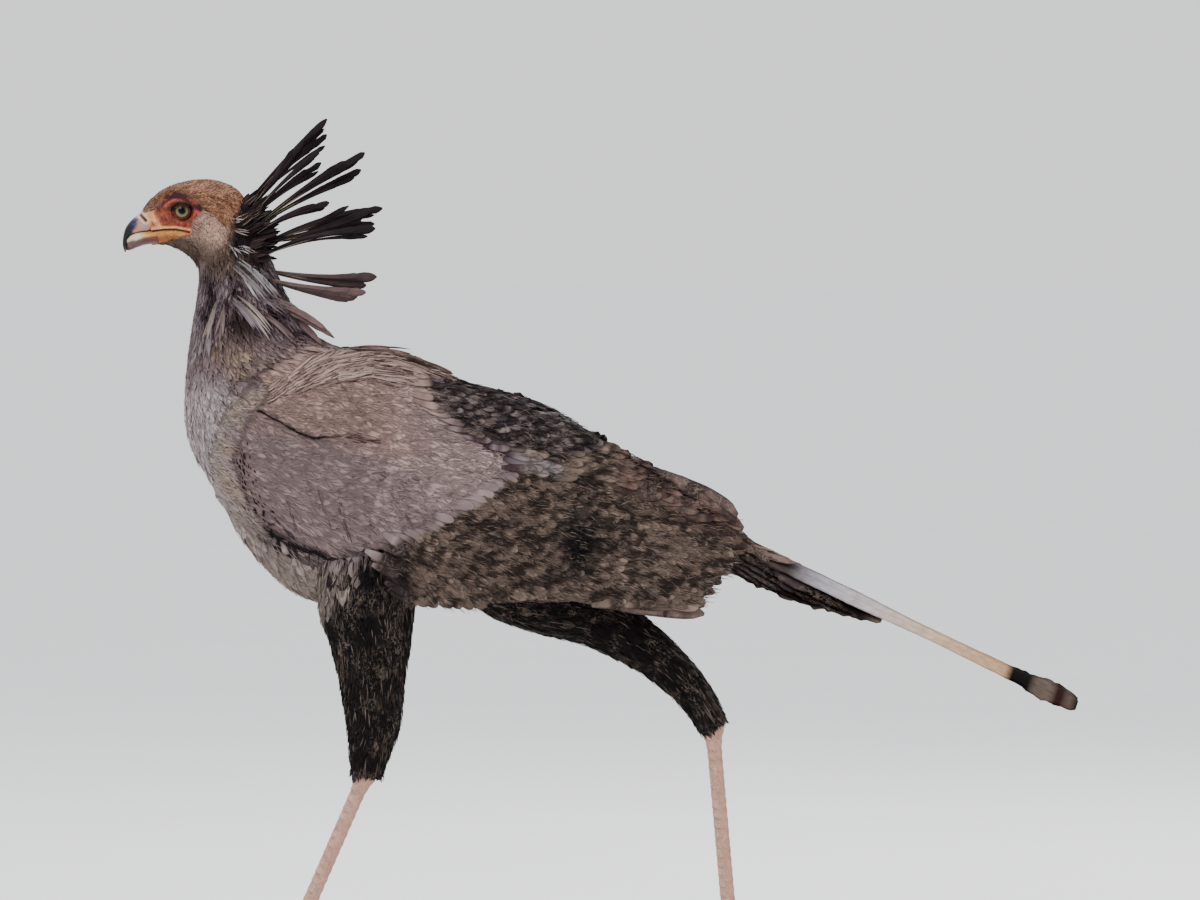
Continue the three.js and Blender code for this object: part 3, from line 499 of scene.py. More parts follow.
def bare_skin(points):
    """The colours of the bare face, with painted shade in its creases, over the eye and at the eye's front
    corner.
    """
    x, y, z = np.moveaxis(np.asarray(points, float), -1, 0)
    folded = np.stack([x, np.abs(y), z], -1)
    layers = Layers("763a2c", x.shape)
    lay = layers.lay
    eye = np.hypot((x - EYE["x"]) / 1.1, z - EYE["z"])
    mouth = line_distance(x, z, MOUTH)[0]
    under = z < np.interp(x, *np.transpose(MOUTH))
    lay("ab6541", step(-500, -515, x + 0.5 * (z - 950)))
    lay("6f3326", bell(eye - 11, 4))
    lay("a03c38", bell(np.hypot(x + 460, z - 957), 7))
    # Painted shade in the crease over the brow.
    lay("26090a", bell(line_distance(x, z, EYEBROW_CREASE)[0], 4.4) * 1.5)
    lay("a54a45", bell(line_distance(x, z, BROW)[0], 1.8))
    lay("6c5245", step(-500, -507, x) * step(960, 968, z) * 0.8)
    lay("dfa981", bell(line_distance(x, z, [(-517, 962), (-512, 950), (-505, 941)])[0], 3) * 0.9)
    # Painted shade at the bottom of the wrinkles.
    lay("4f1d17", creases(x, z) * step(8.5, 10.5, eye) * 0.85)
    lay("a35c42", step(0.1, 0.6, noise(folded, 3.4)) * 0.4)
    lay("e2a377", bell(mouth - 2.4, 1.5) * ~under)
    lay("c8935a", bell(mouth - 4, 3.4) * under)
    lay("8f5c40", bell(mouth - 9.5, 2.6) * under)
    lay("c35a42", bell(np.hypot(x + 473, z - 935), 4))
    lay("8d5a48", step(929, 922, z) * 0.6)
    lay("220c0b", bell(mouth, 1.25))
    upper = step(-3, 3, z - EYE["z"])
    ring = lid_ring(x, z)
    # Painted shadow over the eye, under the upper lid and the brow.
    lay("2c1310", step(2.7, 1.5, ring) * upper * 0.95)
    lay("3a1a15", step(1.7, 1.15, ring) * (1 - upper) * 0.5)
    lay("45201b", bell(ring - 1.02, 0.1) * 0.8)
    # Painted shadow at the eye's front corner.
    lay("1f0d0c", bell(np.hypot((x - EYE["x"] + 10.5) / 1.8, z - EYE["z"] - 1), 2.2) * 0.85)
    return layers.colour


# Materials

class Graph:
    """A tree of nodes, added by calls that return their outputs."""

    def __init__(self, tree):
        self.tree = tree

    def node(self, kind, inputs, out=0, **settings):
        made = self.tree.nodes.new(kind)
        for key, value in settings.items():
            setattr(made, key, value)
        for key, value in inputs.items():
            self.put(made.inputs[key], value)
        return made.outputs[out]

    def put(self, socket, value):
        if isinstance(value, bpy.types.NodeSocket):
            self.tree.links.new(value, socket)
        else:
            socket.default_value = value

    def math(self, operation, a, b=0.0, clamp=False):
        return self.node("ShaderNodeMath", {0: a, 1: b}, operation=operation, use_clamp=clamp)

    def range(self, value, low, high, to_low=0.0, to_high=1.0):
        return self.node("ShaderNodeMapRange", {0: value, 1: low, 2: high, 3: to_low, 4: to_high})

    def mix(self, share, a, b):
        return self.node("ShaderNodeMix", {0: share, 6: a, 7: b}, out=2, data_type="RGBA")

    def shade(self, colour, factor):
        """A colour made darker or lighter by a factor."""
        return self.node("ShaderNodeVectorMath", {0: colour, 3: factor}, operation="SCALE")

    def attribute(self, name, out):
        made = self.tree.nodes.new("ShaderNodeAttribute")
        made.attribute_name = name
        return made.outputs[out]

    def place(self):
        return self.node("ShaderNodeTexCoord", {}, out="Object")

    def noise(self, scale, detail=3.0, vector=None):
        inputs = {"Vector": vector or self.place(), "Scale": scale, "Detail": detail}
        return self.node("ShaderNodeTexNoise", inputs)

    def vector(self, operation, a, b=(0, 0, 0), scale=1.0, out=0):
        return self.node("ShaderNodeVectorMath", {0: a, 1: b, 3: scale}, out=out, operation=operation)

    def soft_normal(self, share):
        """The surface's normal turned by a share towards the lie of the plumage, so that vanes blend."""
        own = self.node("ShaderNodeNewGeometry", {}, out="Normal")
        lie = self.attribute("lie", "Vector")
        facing = self.math("SIGN", self.vector("DOT_PRODUCT", own, lie, out="Value"))
        lie = self.vector("SCALE", lie, scale=self.math("MULTIPLY", facing, share))
        return self.vector("NORMALIZE", self.vector("ADD", self.vector("SCALE", own, scale=1 - share), lie))


class Surface(Graph):
    """The nodes of a new material, with values for its shader."""

    def __init__(self, name, **values):
        self.material = bpy.data.materials.new(name)
        self.material.use_nodes = True
        super().__init__(self.material.node_tree)
        self.shader = self.tree.nodes["Principled BSDF"]
        for key, value in values.items():
            self.shader.inputs[key.replace("_", " ")].default_value = value

    def finish(self, colour=None, height=None, strength=0.5, distance=0.0004, roughness=None, normal=None):
        if colour is not None:
            self.put(self.shader.inputs["Base Color"], colour)
        if roughness is not None:
            self.put(self.shader.inputs["Roughness"], roughness)
        if height is not None:
            inputs = {"Height": height, "Strength": strength, "Distance": distance}
            if normal is not None:
                inputs["Normal"] = normal
            self.put(self.shader.inputs["Normal"], self.node("ShaderNodeBump", inputs))
        return self.material


def linear(code):
    return (*rgb(code), 1.0)


def feather_material(name, barb, edge, shaft, wavy=False, roughness=0.8, soft=0.0, gloss=0.12):
    """Barbs at a slant from a shaft, edges darkened, painted shade towards the root where the feathers over
    it overlap, and wavy pale lines where a feather is marked for them.
    """
    g = Surface(name, Roughness=roughness, Specular_IOR_Level=gloss)
    across, along, reach = (
        g.node("ShaderNodeSeparateXYZ", {0: g.attribute("vane", "Vector")}, out=i) for i in range(3)
    )
    tint = g.attribute("tint", "Color")
    away = g.math("ABSOLUTE", across)
    place = g.place()
    ripple = g.math("MULTIPLY", g.noise(260.0, vector=place), 2.2)
    wave = g.math("SINE", g.math("ADD", g.math("MULTIPLY", reach, 2 * math.pi / barb), ripple))
    strand = g.range(wave, -1.0, 1.0, 0.84, 1.1)
    blotch = g.range(g.noise(120.0, vector=place), 0.3, 0.7, 0.82, 1.16)
    # Darker towards the vane's edges.
    rim_darkening = g.range(away, 0.72, 1.0, 1.0, 1.0 - edge)
    quill = g.range(away, 0.02, 0.09, 1.0 - shaft, 1.0)
    # Painted shade: darker towards the root, where the feathers over it lie.
    root = g.range(along, 0.0, 0.5, 0.72, 1.0)
    factor = strand
    for part in (blotch, rim_darkening, quill, root):
        factor = g.math("MULTIPLY", factor, part)
    if wavy:
        shown = 0.0
        for scale in (95.0, 170.0):
            line = g.math("ABSOLUTE", g.math("SUBTRACT", g.noise(scale, 2.0, vector=place), 0.5))
            shown = g.math("MAXIMUM", shown, g.range(line, 0.012, 0.04, 1.0, 0.0))
        patch = g.range(g.noise(34.0, vector=place), 0.4, 0.58)
        amount = g.math("MULTIPLY", g.math("MULTIPLY", shown, patch), g.attribute("mark", "Fac"))
        tint = g.mix(amount, tint, linear("85776c"))
    normal = g.soft_normal(soft) if soft else None
    return g.finish(g.shade(tint, factor), wave, 0.35, 0.00025, normal=normal)


def skin_material():
    """Body skin: painted by vertex colours, with fine pores and wrinkles."""
    g = Surface("skin", Roughness=0.62, Specular_IOR_Level=0.16, Subsurface_Weight=0.05,
                Subsurface_Scale=0.003)
    g.shader.inputs["Subsurface Radius"].default_value = (1.0, 0.35, 0.2)
    folds = g.noise(420.0, 5.0)
    pores = g.noise(1500.0, 2.0)
    factor = g.range(folds, 0.3, 0.7, 0.76, 1.12)
    height = g.math("ADD", folds, g.math("MULTIPLY", pores, 0.3))
    return g.finish(g.shade(g.attribute("tint", "Color"), factor), height, 0.7, 0.0008)


def horn_material(name, roughness, scale=300.0, strength=0.25):
    """Bill and claws: painted by vertex colours, with faint growth lines and scratches."""
    g = Surface(name, Specular_IOR_Level=0.2, Coat_Weight=0.04, Coat_Roughness=0.3)
    grain = g.noise(scale, 4.0)
    rough = g.range(grain, 0.3, 0.7, roughness - 0.08, roughness + 0.12)
    rough = g.math("MAXIMUM", rough, g.attribute("mark", "Fac"))
    factor = g.range(g.noise(90.0, 3.0), 0.3, 0.7, 0.88, 1.1)
    return g.finish(g.shade(g.attribute("tint", "Color"), factor), grain, strength, 0.0003, rough)


def eye_material():
    """Pupil, iris and dark rim by the distance from the eye's axis, held in the piece's marks, and painted
    shade of the upper lid over its top.
    """
    g = Surface("eye", Roughness=0.1, Specular_IOR_Level=0.08, Coat_Weight=0.02, Coat_Roughness=0.03)
    ring = g.attribute("mark", "Fac")
    spokes = g.noise(900.0, 4.0)
    wavy = g.math("ADD", ring, g.range(spokes, 0.3, 0.7, -0.02, 0.02))
    stops = [
        (0.0, "010101"), (0.335, "010101"), (0.365, "35331f"), (0.44, "544e3a"), (0.56, "6f674f"),
        (0.68, "5e5641"), (0.73, "403425"), (0.78, "170e0b"), (1.0, "2a1a16"),
    ]
    ramp = g.tree.nodes.new("ShaderNodeValToRGB")
    elements = ramp.color_ramp.elements
    elements[1].position = 1.0
    for place, code in stops[1:-1]:
        elements.new(place)
    for element, (place, code) in zip(elements, stops):
        element.position = place
        element.color = linear(code)
    g.put(ramp.inputs[0], wavy)
    # Painted shade of the upper lid: darker towards the eye's top and lighter below.
    height = g.node("ShaderNodeSeparateXYZ", {0: g.place()}, out=2)
    shade = g.range(height, (EYE["z"] - 3) * MM, (EYE["z"] + 4.5) * MM, 1.2, 0.25)
    return g.finish(g.shade(ramp.outputs[0], g.math("MULTIPLY", g.range(spokes, 0.3, 0.7, 0.8, 1.2), shade)))


def scale_material():
    """Leg skin: large plates by the mesh, small scales and creases by the material."""
    g = Surface("leg_scales", Specular_IOR_Level=0.4, Subsurface_Weight=0.05, Subsurface_Scale=0.002)
    cells = g.node("ShaderNodeTexVoronoi", {"Vector": g.place(), "Scale": 420.0}, feature="DISTANCE_TO_EDGE")
    crease = g.range(cells, 0.0, 0.12)
    colour = g.shade(g.attribute("tint", "Color"), g.range(g.noise(150.0), 0.3, 0.7, 0.8, 1.15))
    colour = g.mix(g.range(crease, 0.0, 1.0, 0.55, 0.0), colour, linear("6e4a3c"))
    return g.finish(colour, crease, 0.6, 0.0005, g.range(crease, 0.0, 1.0, 0.8, 0.5))


# Head

EYE = {"x": -479.0, "z": 960.5, "radius": 10.5, "proud": 2.4}
EYE_OUT = float(side_at(EYE["x"], EYE["z"], 0.0, HEAD_END)) + EYE["proud"] - EYE["radius"]
# The gap between the lids: half its length, and its height over and under the eye's middle.
OPENING = (8.2, 5.4, 7.9)
BROW = [
    (-499, 965), (-493, 970), (-486.5, 971.8), (-479.5, 971), (-472.5, 967.4), (-465.5, 961.8), (-459, 956),
]
MOUTH = [(-530, 935.4), (-517, 936.2), (-500, 938.4), (-486, 938.6), (-471, 935.6)]
HEAD_SIDES = 288
BODY_SIDES = HEAD_SIDES // 4


def coat_depth(t):
    """How far the skin lies inside the body's outline, where feathers cover it."""
    return np.interp(t, [0, 2.5, 5, 7, 9, 12, 18, 21], [0.4, 0.9, 2.2, 4, 5.5, 7, 6, 3])


def face_relief(x, z):
    """How far the face's folds stand out of its smooth form, seen from the side."""
    relief = 2.3 * bell(line_distance(x, z, BROW)[0], 2.7)
    relief -= 0.9 * bell(line_distance(x, z, EYEBROW_CREASE)[0], 1.5)
    mouth = line_distance(x, z, MOUTH)[0]
    on_face = step(-520, -512, x)
    relief += on_face * (1.2 * bell(mouth - 2.5, 1.5) - 2.4 * bell(mouth, 0.85))
    for line, height in (
        ([(-505, 956), (-497, 951), (-490, 946), (-478, 944)], 0.7),
        ([(-508, 951), (-499, 946), (-488, 942.5)], 0.5),
        ([(-466, 952), (-463, 958), (-466, 966)], 0.6),
        ([(-503, 962), (-496, 959.5)], 0.5),
    ):
        relief += height * bell(line_distance(x, z, line)[0], 1.4)
    lump = np.stack([x, 0 * x, z], -1)
    bare = step(-2, 2, depth_in(x, z, BARE_FACE))
    return relief + bare * (0.3 * noise(lump, 3.2) - 1.05 * creases(x, z))


def lid_ring(x, z):
    """How far places lie from the eye's middle, counted so that the edge of the lids is at 1."""
    tall = np.where(z > EYE["z"], OPENING[1], OPENING[2])
    return np.hypot((x - EYE["x"]) / OPENING[0], (z - EYE["z"]) / tall)


def set_lids(points):
    """Draws the skin round each eye in to the lids, and under the eyeball inside them."""
    x, y, z = np.moveaxis(points, -1, 0)
    away = np.hypot(x - EYE["x"], z - EYE["z"])
    ring = lid_ring(x, z)
    ball = EYE_OUT + np.sqrt(np.maximum(EYE["radius"] ** 2 - away**2, 0))
    height = np.abs(y)
    upper = step(-4, 3, z - EYE["z"])
    lid = ball + mix(1.1, 2.2, upper) * bell(ring - 1.16, 0.14) + 0.1
    rim = mix(lid, height - 0.8 * bell(ring - 1.45, 0.1), step(1.2, 1.75, ring))
    inside = np.where(ring < 1, ball - 2.2, rim)
    near = (ring < 1.8) & (height > 6)
    y = np.where(near, np.sign(y) * inside, y)
    return np.stack([x, y, z], -1)


def body_rings():
    """Rings of the skin from the face to the tail's root, dense on the head and coarser behind it."""
    head = np.linspace(0.0, HEAD_END, 150)
    upper = np.linspace(HEAD_END, 7.0, 16)[1:]
    lower = np.linspace(7.0, BODY_END, 120)[1:]
    plan = [(t, HEAD_SIDES) for t in head]
    plan += [(t, HEAD_SIDES // 2) for t in upper]
    plan += [(t, BODY_SIDES) for t in lower]
    return plan


def skin_shape():
    shape = Shape()
    plan = body_rings()
    starts = []
    for t, sides in plan:
        angle = turns(sides)
        points = body(t, angle, -coat_depth(t))
        if t < 6:
            normal = body_axes(t, angle)[0]
            x, z = points[:, 0], points[:, 2]
            sideways = step(2, 8, np.abs(points[:, 1]))
            points = points + normal * (face_relief(x, z) * sideways)[:, None]
            points = set_lids(points)
        starts.append(shape.count)
        shape.add(points)
    quads, tris = [], []
    for (start, (_, n)), (after, (_, m)) in zip(zip(starts, plan), zip(starts[1:], plan[1:])):
        k = np.arange(m)
        if n == m:
            quads.append(np.stack([start + k, after + k, after + (k + 1) % n, start + (k + 1) % n], -1))
            continue
        a, b, c = start + 2 * k, start + 2 * k + 1, start + (2 * k + 2) % n
        d, e = after + k, after + (k + 1) % m
        tris += [np.stack([a, d, b], -1), np.stack([b, d, e], -1), np.stack([b, e, c], -1)]
    for start, (t, n), flip in ((starts[0], plan[0], True), (starts[-1], plan[-1], False)):
        angle = turns(n)
        centre = body(t, angle).mean(0)
        k = np.arange(n)
        ring = [start + (k + 1) % n, start + k] if flip else [start + k, start + (k + 1) % n]
        tris.append(np.stack([ring[1], ring[0], np.full(n, shape.count)], -1))
        shape.add(centre[None])
    shape.quads.append(np.concatenate(quads)[:, ::-1])
    shape.tris.append(np.concatenate(tris)[:, ::-1])
    return shape


# Thighs

SHIN = {
    LEFT: [
        (-254, 610, 30, 46, 22), (-261, 566, 39, 56, 31), (-267, 513, 46, 54, 36), (-263, 467, 45, 44, 34),
        (-261, 421, 43, 35, 29), (-260, 375, 40, 29, 24), (-264, 342, 38, 22, 19), (-267, 318, 37, 16, 15),
    ],
    RIGHT: [
        (-160, 548, 28, 34, 22), (-109, 530, 40, 42, 30), (-63, 511, 46, 38, 34), (-6, 490, 47, 32, 29),
        (46, 459, 47, 26, 25), (82, 430, 46, 21.5, 21), (110, 399, 46, 18, 18), (130, 366, 45, 15, 15),
    ],
}
SHIN_END = 7.0
FORWARD = np.array([-1.0, 0, 0])


def tube_frame(tangent, up):
    """Unit vectors across a tube: one towards up, and one sideways."""
    side = unit(np.cross(tangent, np.broadcast_to(up, tangent.shape)))
    return unit(np.cross(side, tangent)), side


def thigh(side, place, turn, out=0.0):
    """Points on a thigh, by the place along it and the turn round it from its front edge."""
    place, turn, out = np.broadcast_arrays(np.asarray(place, float), turn, out)
    past = np.maximum(place - SHIN_END, 0)
    rows = smooth(SHIN[side], np.clip(place, 0, SHIN_END))
    inner = np.clip(place, 0.01, SHIN_END - 0.01)
    ahead = smooth(SHIN[side], inner + 0.01) - smooth(SHIN[side], inner - 0.01)
    tangent = unit(np.stack([ahead[..., 0], side * ahead[..., 2], ahead[..., 1]], -1))
    middle = np.stack([rows[..., 0], side * rows[..., 2], rows[..., 1]], -1)
    middle = middle + tangent * (past * 28)[..., None]
    lift, across = tube_frame(tangent, FORWARD)
    deep = rows[..., 3] + out
    wide = rows[..., 4] + out
    return middle + lift * (deep * np.cos(turn))[..., None] + across * (wide * np.sin(turn))[..., None]


def thigh_axes(side, place, turn):
    small = 1e-3
    along = (thigh(side, place + small, turn) - thigh(side, place - small, turn)) / (2 * small)
    around = thigh(side, place, turn + small) - thigh(side, place, turn - small)
    return unit(np.cross(along, around)), np.linalg.norm(along, axis=-1)


def thigh_depth(place):
    """How far the skin lies inside a thigh's outline, where feathers cover it."""
    return np.interp(place, [0, 1, 6, 7], [2, 7, 4, 2])

def thigh_shape(side):
    rings, sides = 60, 40
    place = np.linspace(0, SHIN_END, rings)[:, None]
    shape = Shape()
    shape.add_tube(thigh(side, place, turns(sides)[None], -thigh_depth(place)))
    return shape

def union(base, others):
    """Joins closed meshes into one, and removes the others."""
    for other in others:
        modifier = base.modifiers.new("join", "BOOLEAN")
        modifier.operation = "UNION"
        modifier.solver = "MANIFOLD"
        modifier.object = other
        apply_modifiers(base)
        bpy.data.objects.remove(other)
    return base


def apply_modifiers(target):
    graph = bpy.context.evaluated_depsgraph_get()
    mesh = bpy.data.meshes.new_from_object(target.evaluated_get(graph))
    target.modifiers.clear()
    target.data = mesh


def vertices_of(target):
    points = np.empty(len(target.data.vertices) * 3, np.float32)
    target.data.vertices.foreach_get("co", points)
    return points.reshape(-1, 3).astype(float) / MM


def make_skin(material):
    skin = skin_shape().build("skin", material)
    union(skin, [thigh_shape(side).build("thigh_core", material) for side in (LEFT, RIGHT)])
    points = vertices_of(skin)
    x, z = points[:, 0], points[:, 2]
    # The skin under the coat takes the plumage's colours, browner and darker: painted shade in the gaps
    # between feathers.
    feathered = mix(paint(points), rgb("6b5048"), 0.25) * 0.75
    bare = step(-1.2, 1.2, depth_in(x, z, BARE_FACE)) * (points[:, 2] > 900)
    colour = mix(feathered, bare_skin(points), bare[:, None])
    colour = np.column_stack([colour, np.ones(len(colour))]).astype(np.float32)
    skin.data.attributes["tint"].data.foreach_set("color", colour.ravel())
    skin.data.polygons.foreach_set("use_smooth", np.ones(len(skin.data.polygons), bool))
    return skin


# Bill and eyes: x, z on the ridge line, x, z on the cutting edge, half width.
UPPER_BILL = [
    (-508, 975.5, -508, 937.4, 14), (-515.15, 974, -515.15, 937.4, 13.5),
    (-522.6, 965.2, -521.5, 936.4, 12.8), (-531, 955.6, -529.5, 935.4, 11.4),
    (-539.5, 948.3, -535.5, 933.8, 9), (-545.5, 939.5, -540.2, 931.2, 6.6),
    (-548.2, 928.5, -543.3, 926.6, 4.4), (-548.3, 919.5, -544, 918.6, 3), (-546.2, 912.8, -544.7, 912.6, 0.8),
]
LOWER_BILL = [
    (-508, 937.6, -508, 922.2, 13.4), (-515.15, 937.4, -515.15, 921.8, 13), (-524, 936.4, -524, 920.4, 11.9),
    (-532, 935.4, -532, 917.8, 9.9), (-539.2, 932.4, -538, 915.4, 7.2), (-543.6, 927.6, -542.6, 914.6, 4.4),
    (-545.4, 922, -544.8, 915.6, 2),
]
NOSTRIL = [(-527, 955.2), (-521, 948.6)]


def bill_form(values, turn, upper):
    """Points on a half of the bill, by its rows of values and the turn round it from its ridge."""
    top = np.stack([values[..., 0], 0 * values[..., 0], values[..., 1]], -1)
    low = np.stack([values[..., 2], 0 * values[..., 0], values[..., 3]], -1)
    middle, up = (top + low) / 2, (top - low) / 2
    cos, sin = np.cos(turn), np.sin(turn)
    ridge = np.maximum(cos, 0) if upper else np.maximum(-cos, 0)
    fullness = np.where(ridge > 0, 0.9, 0.55)
    points = middle + up * cos[..., None]
    points[..., 1] = values[..., 4] * np.sign(sin) * np.abs(sin) ** fullness * (1 - 0.16 * ridge**2)
    return points, middle


def bill_shape(rows, upper):
    rings, sides = 96, 72
    turn = turns(sides)[None] + np.zeros((rings, 1))
    values = smooth(rows, np.linspace(0, len(rows) - 1, rings))[:, None] + np.zeros((1, sides, 1))
    points, middle = bill_form(values, turn, upper)
    x, y, z = np.moveaxis(points, -1, 0)
    out = unit(points - middle)
    relief = 0.12 * noise(np.stack([x, y, z], -1), 7)
    if upper:
        hole, _ = line_distance(x, z, NOSTRIL)
        relief = relief - 3.6 * bell(hole, 1.5) + 0.8 * bell(hole - 2.8, 1.2)
        edge = line_distance(x, z, [(r[2], r[3]) for r in rows])[0]
        relief = relief + 0.45 * bell(edge - 1.2, 1.2) * step(-512, -520, x)
        relief = relief + 0.5 * step(-527, -521, x) * step(-514, -519, x)
    points = points + out * (relief * step(0.2, 0.5, np.abs(np.sin(turn))))[..., None]
    shape = Shape()
    tint = upper_bill_colour(points) if upper else lower_bill_colour(points)
    mark = feathered_bill(points) if upper else np.zeros(x.shape)
    shape.add_tube(points, tint=tint, mark=mark)
    return shape


def feathered_bill(points):
    """1 where forehead feathers cover the bill's base, and 0 beyond them."""
    x, _, z = np.moveaxis(points, -1, 0)
    return step(-525, -521.5, x + 0.35 * (966 - z) + noise(points, 2.5)) * step(955, 959, z - 0.3 * (x + 524))


def forehead(shape, rng):
    """Short feathers that grow back from the bill's base."""
    count = 520
    place, turn = rng.uniform(0.3, 2.35, count), rng.uniform(-1.35, 1.35, count)
    values = smooth(UPPER_BILL, place)
    keep = feathered_bill(bill_form(values, turn, True)[0]) > 0.5
    place, turn = place[keep][:, None], turn[keep][:, None]
    s = np.array([0, 0.35, 0.7, 1.0])[None]
    size = rng.uniform(3.2, 4.8, place.shape)
    places = place - s * size / 7.4
    points, middle = bill_form(smooth(UPPER_BILL, np.clip(places, 0, None)), turn * (1 - 0.08 * s), True)
    normal = unit(points - middle)
    past = np.maximum(-places, 0)[..., None] * np.array([7.0, 0, 4.0])
    points = points + past + normal * (0.15 + 0.9 * s)[..., None]
    half = rng.uniform(0.55, 0.9, place.shape) * np.array([0.5, 0.95, 0.8, 0.06])
    tint = mix(rgb("51382e"), rgb("9a7866"), rng.uniform(0, 1, place.shape))
    vanes(shape, points, normal, half, tint, **BARB, thick=0.25, bake=np.full((len(place), 2), 0.02))


def upper_bill_colour(points):
    """Lilac grey, with a dark blue hook, a tan base and a pale rim round the nostril."""
    x, _, z = np.moveaxis(points, -1, 0)
    layers = Layers("9c93a3", x.shape)
    lay = layers.lay
    streak = noise(points, 2.5)
    forward = unit(np.array([-0.8, -0.6]))
    along = np.stack([x, z], -1) @ forward - np.array([-522.0, 948.5]) @ forward
    lay("15112e", step(3, 9, along + 2.5 * streak))
    lay("0b070b", step(13, 24, along))
    lay("6c6078", 0.35 * bell(along - 9, 3) * step(0.1, 0.5, streak))
    lay("b3a7ab", step(940, 936, z) * step(-539, -531, x) * 0.7)
    cere = step(-529, -521, x + 0.45 * (957 - z) + streak)
    lay("bf8a66", cere)
    lay("8f8690", bell(np.hypot(x + 523, 1.3 * (z - 944)), 7) * 0.9)
    lay("c98a66", cere * step(-520, -513, x))
    lay("5a4236", feathered_bill(points))
    lay("1c1012", bell(line_distance(x, z, [row[2:4] for row in UPPER_BILL])[0], 0.8))
    hole = line_distance(x, z, NOSTRIL)[0]
    lay("e6c3a2", 0.7 * bell(hole - 3, 1.4))
    lay("1f0d0b", bell(hole, 1.6))
    return layers.colour


def lower_bill_colour(points):
    """Bone at the tip and tan behind, with a maroon lower edge."""
    x, _, z = np.moveaxis(points, -1, 0)
    layers = Layers("c2b59d", x.shape)
    lay = layers.lay
    lay("b07a38", step(-531, -519, x + 0.3 * (930 - z)))
    lay("9c5240", step(-524, -516, x) * step(928, 924, z))
    lay("4a242d", step(-1.5, 2, 927.5 + 0.22 * (x + 530) - z + 1.2 * noise(points, 4)) * 0.92)
    lay("1b1015", step(-541.2, -543, x + 0.3 * (z - 920)))
    lay("33191c", step(917.5, 915, z) * step(-528, -536, x))
    lay("1c1012", bell(line_distance(x, z, [row[:2] for row in LOWER_BILL])[0], 0.7))
    return layers.colour


def eye_shape(side):
    """An eyeball with a slightly raised cornea. Its marks hold the distance from its axis."""
    rings, sides = 44, 48
    polar = np.linspace(0.001, np.pi - 0.001, rings)[:, None]
    turn = turns(sides)[None]
    radius = EYE["radius"] + 0.45 * bell(polar, 0.62)
    away = np.sin(polar) * radius
    points = np.stack(
        [
            EYE["x"] + away * np.cos(turn),
            side * (EYE_OUT + radius * np.cos(polar) + 0 * turn),
            EYE["z"] + away * np.sin(turn),
        ],
        -1,
    )
    mark = np.where(polar < np.pi / 2, np.sin(polar), 1.0) + 0 * turn
    shape = Shape()
    shape.add_tube(points, side == RIGHT, mark=mark)
    return shape


def lash_shape(side, rng):
    """Bristly lashes along the upper lid and at the front of the eye."""
    count = 30
    turn = np.linspace(math.radians(14), math.radians(188), count) + rng.uniform(-0.04, 0.04, count)
    away = np.stack([np.cos(turn) * OPENING[0] * 1.12, np.sin(turn) * OPENING[1] * 1.2], -1)
    root = np.stack(
        [
            EYE["x"] + away[:, 0],
            np.full(count, side * (EYE_OUT + 7.4)),
            EYE["z"] + away[:, 1],
        ],
        -1,
    )
    length = rng.uniform(3.6, 5.6, count)
    way = unit(np.stack([np.cos(turn) * 0.7 - 0.2, np.full(count, side * 1.1), np.sin(turn) * 0.6 + 0.1], -1))
    s = np.linspace(0, 1, 7)
    curl = np.stack([0 * s, 0 * s, s**2], -1)
    middle = root[:, None] + way[:, None] * (length[:, None, None] * s[None, :, None]) + 1.6 * curl[None]
    half = np.broadcast_to(0.17 * (1 - 0.85 * s), (count, 7))
    normal = np.broadcast_to(np.array([0.3, 0, 1.0]), middle.shape)
    shape = Shape()
    vanes(shape, middle, normal, half, np.tile(rgb("120d0c"), (count, 1)), across=(-1, 0, 1), thick=0.3)
    return shape


# Coat

def scatter(rng, t_from, t_to, angles, step_along, step_around):
    """Staggered rows of places on the body between two sections, about as far apart as asked for."""
    found = []
    t, row = t_from, 0
    while t < t_to:
        low, high = angles(t)
        grid = np.linspace(low, high, 72)
        reach = reach_along(body(t, grid))
        count = max(3, int(reach[-1] / (step_around(t) if callable(step_around) else step_around)))
        places = (np.arange(count) + 0.5 * (row % 2) + rng.uniform(-0.3, 0.3, count)) / count
        angle = np.interp(np.mod(places, 1) * reach[-1], reach, grid)
        size = body_axes(np.full(count, t), angle)[1]
        along = step_along(t) if callable(step_along) else step_along
        dt = along / size.max()
        keep = rng.uniform(0, 1, count) < size / size.max() + 0.04
        found.append(np.stack([t + rng.uniform(-0.5, 0.5, count) * dt, angle], -1)[keep])
        t += dt
        row += 1
    return np.concatenate(found)


CONTOUR = {"s": np.array([0, 0.3, 0.62, 0.86, 1.0]), "w": np.array([0.35, 0.8, 1.0, 0.78, 0.12])}
LANCE = {"s": np.array([0, 0.25, 0.55, 0.8, 1.0]), "w": np.array([0.4, 0.85, 1.0, 0.55, 0.05])}
WISP = {"s": np.array([0, 0.5, 1.0]), "w": np.array([0.7, 1.0, 0.1])}


def unwrap(t, angle):
    """The place of a root on the body's unwrap."""
    return np.stack([np.mod(angle / (2 * np.pi) + 0.5, 1), t / (BODY_END + 1)], -1)


def unwrap_wing(side, x, z):
    """The places on the body's unwrap of roots that are seen from the side."""
    t, angle, _ = place_on_body(x, z, HEAD_END)
    return unwrap(t, -side * angle)

# Feathers of less than this half width have a plain cross section.
NARROW = 3

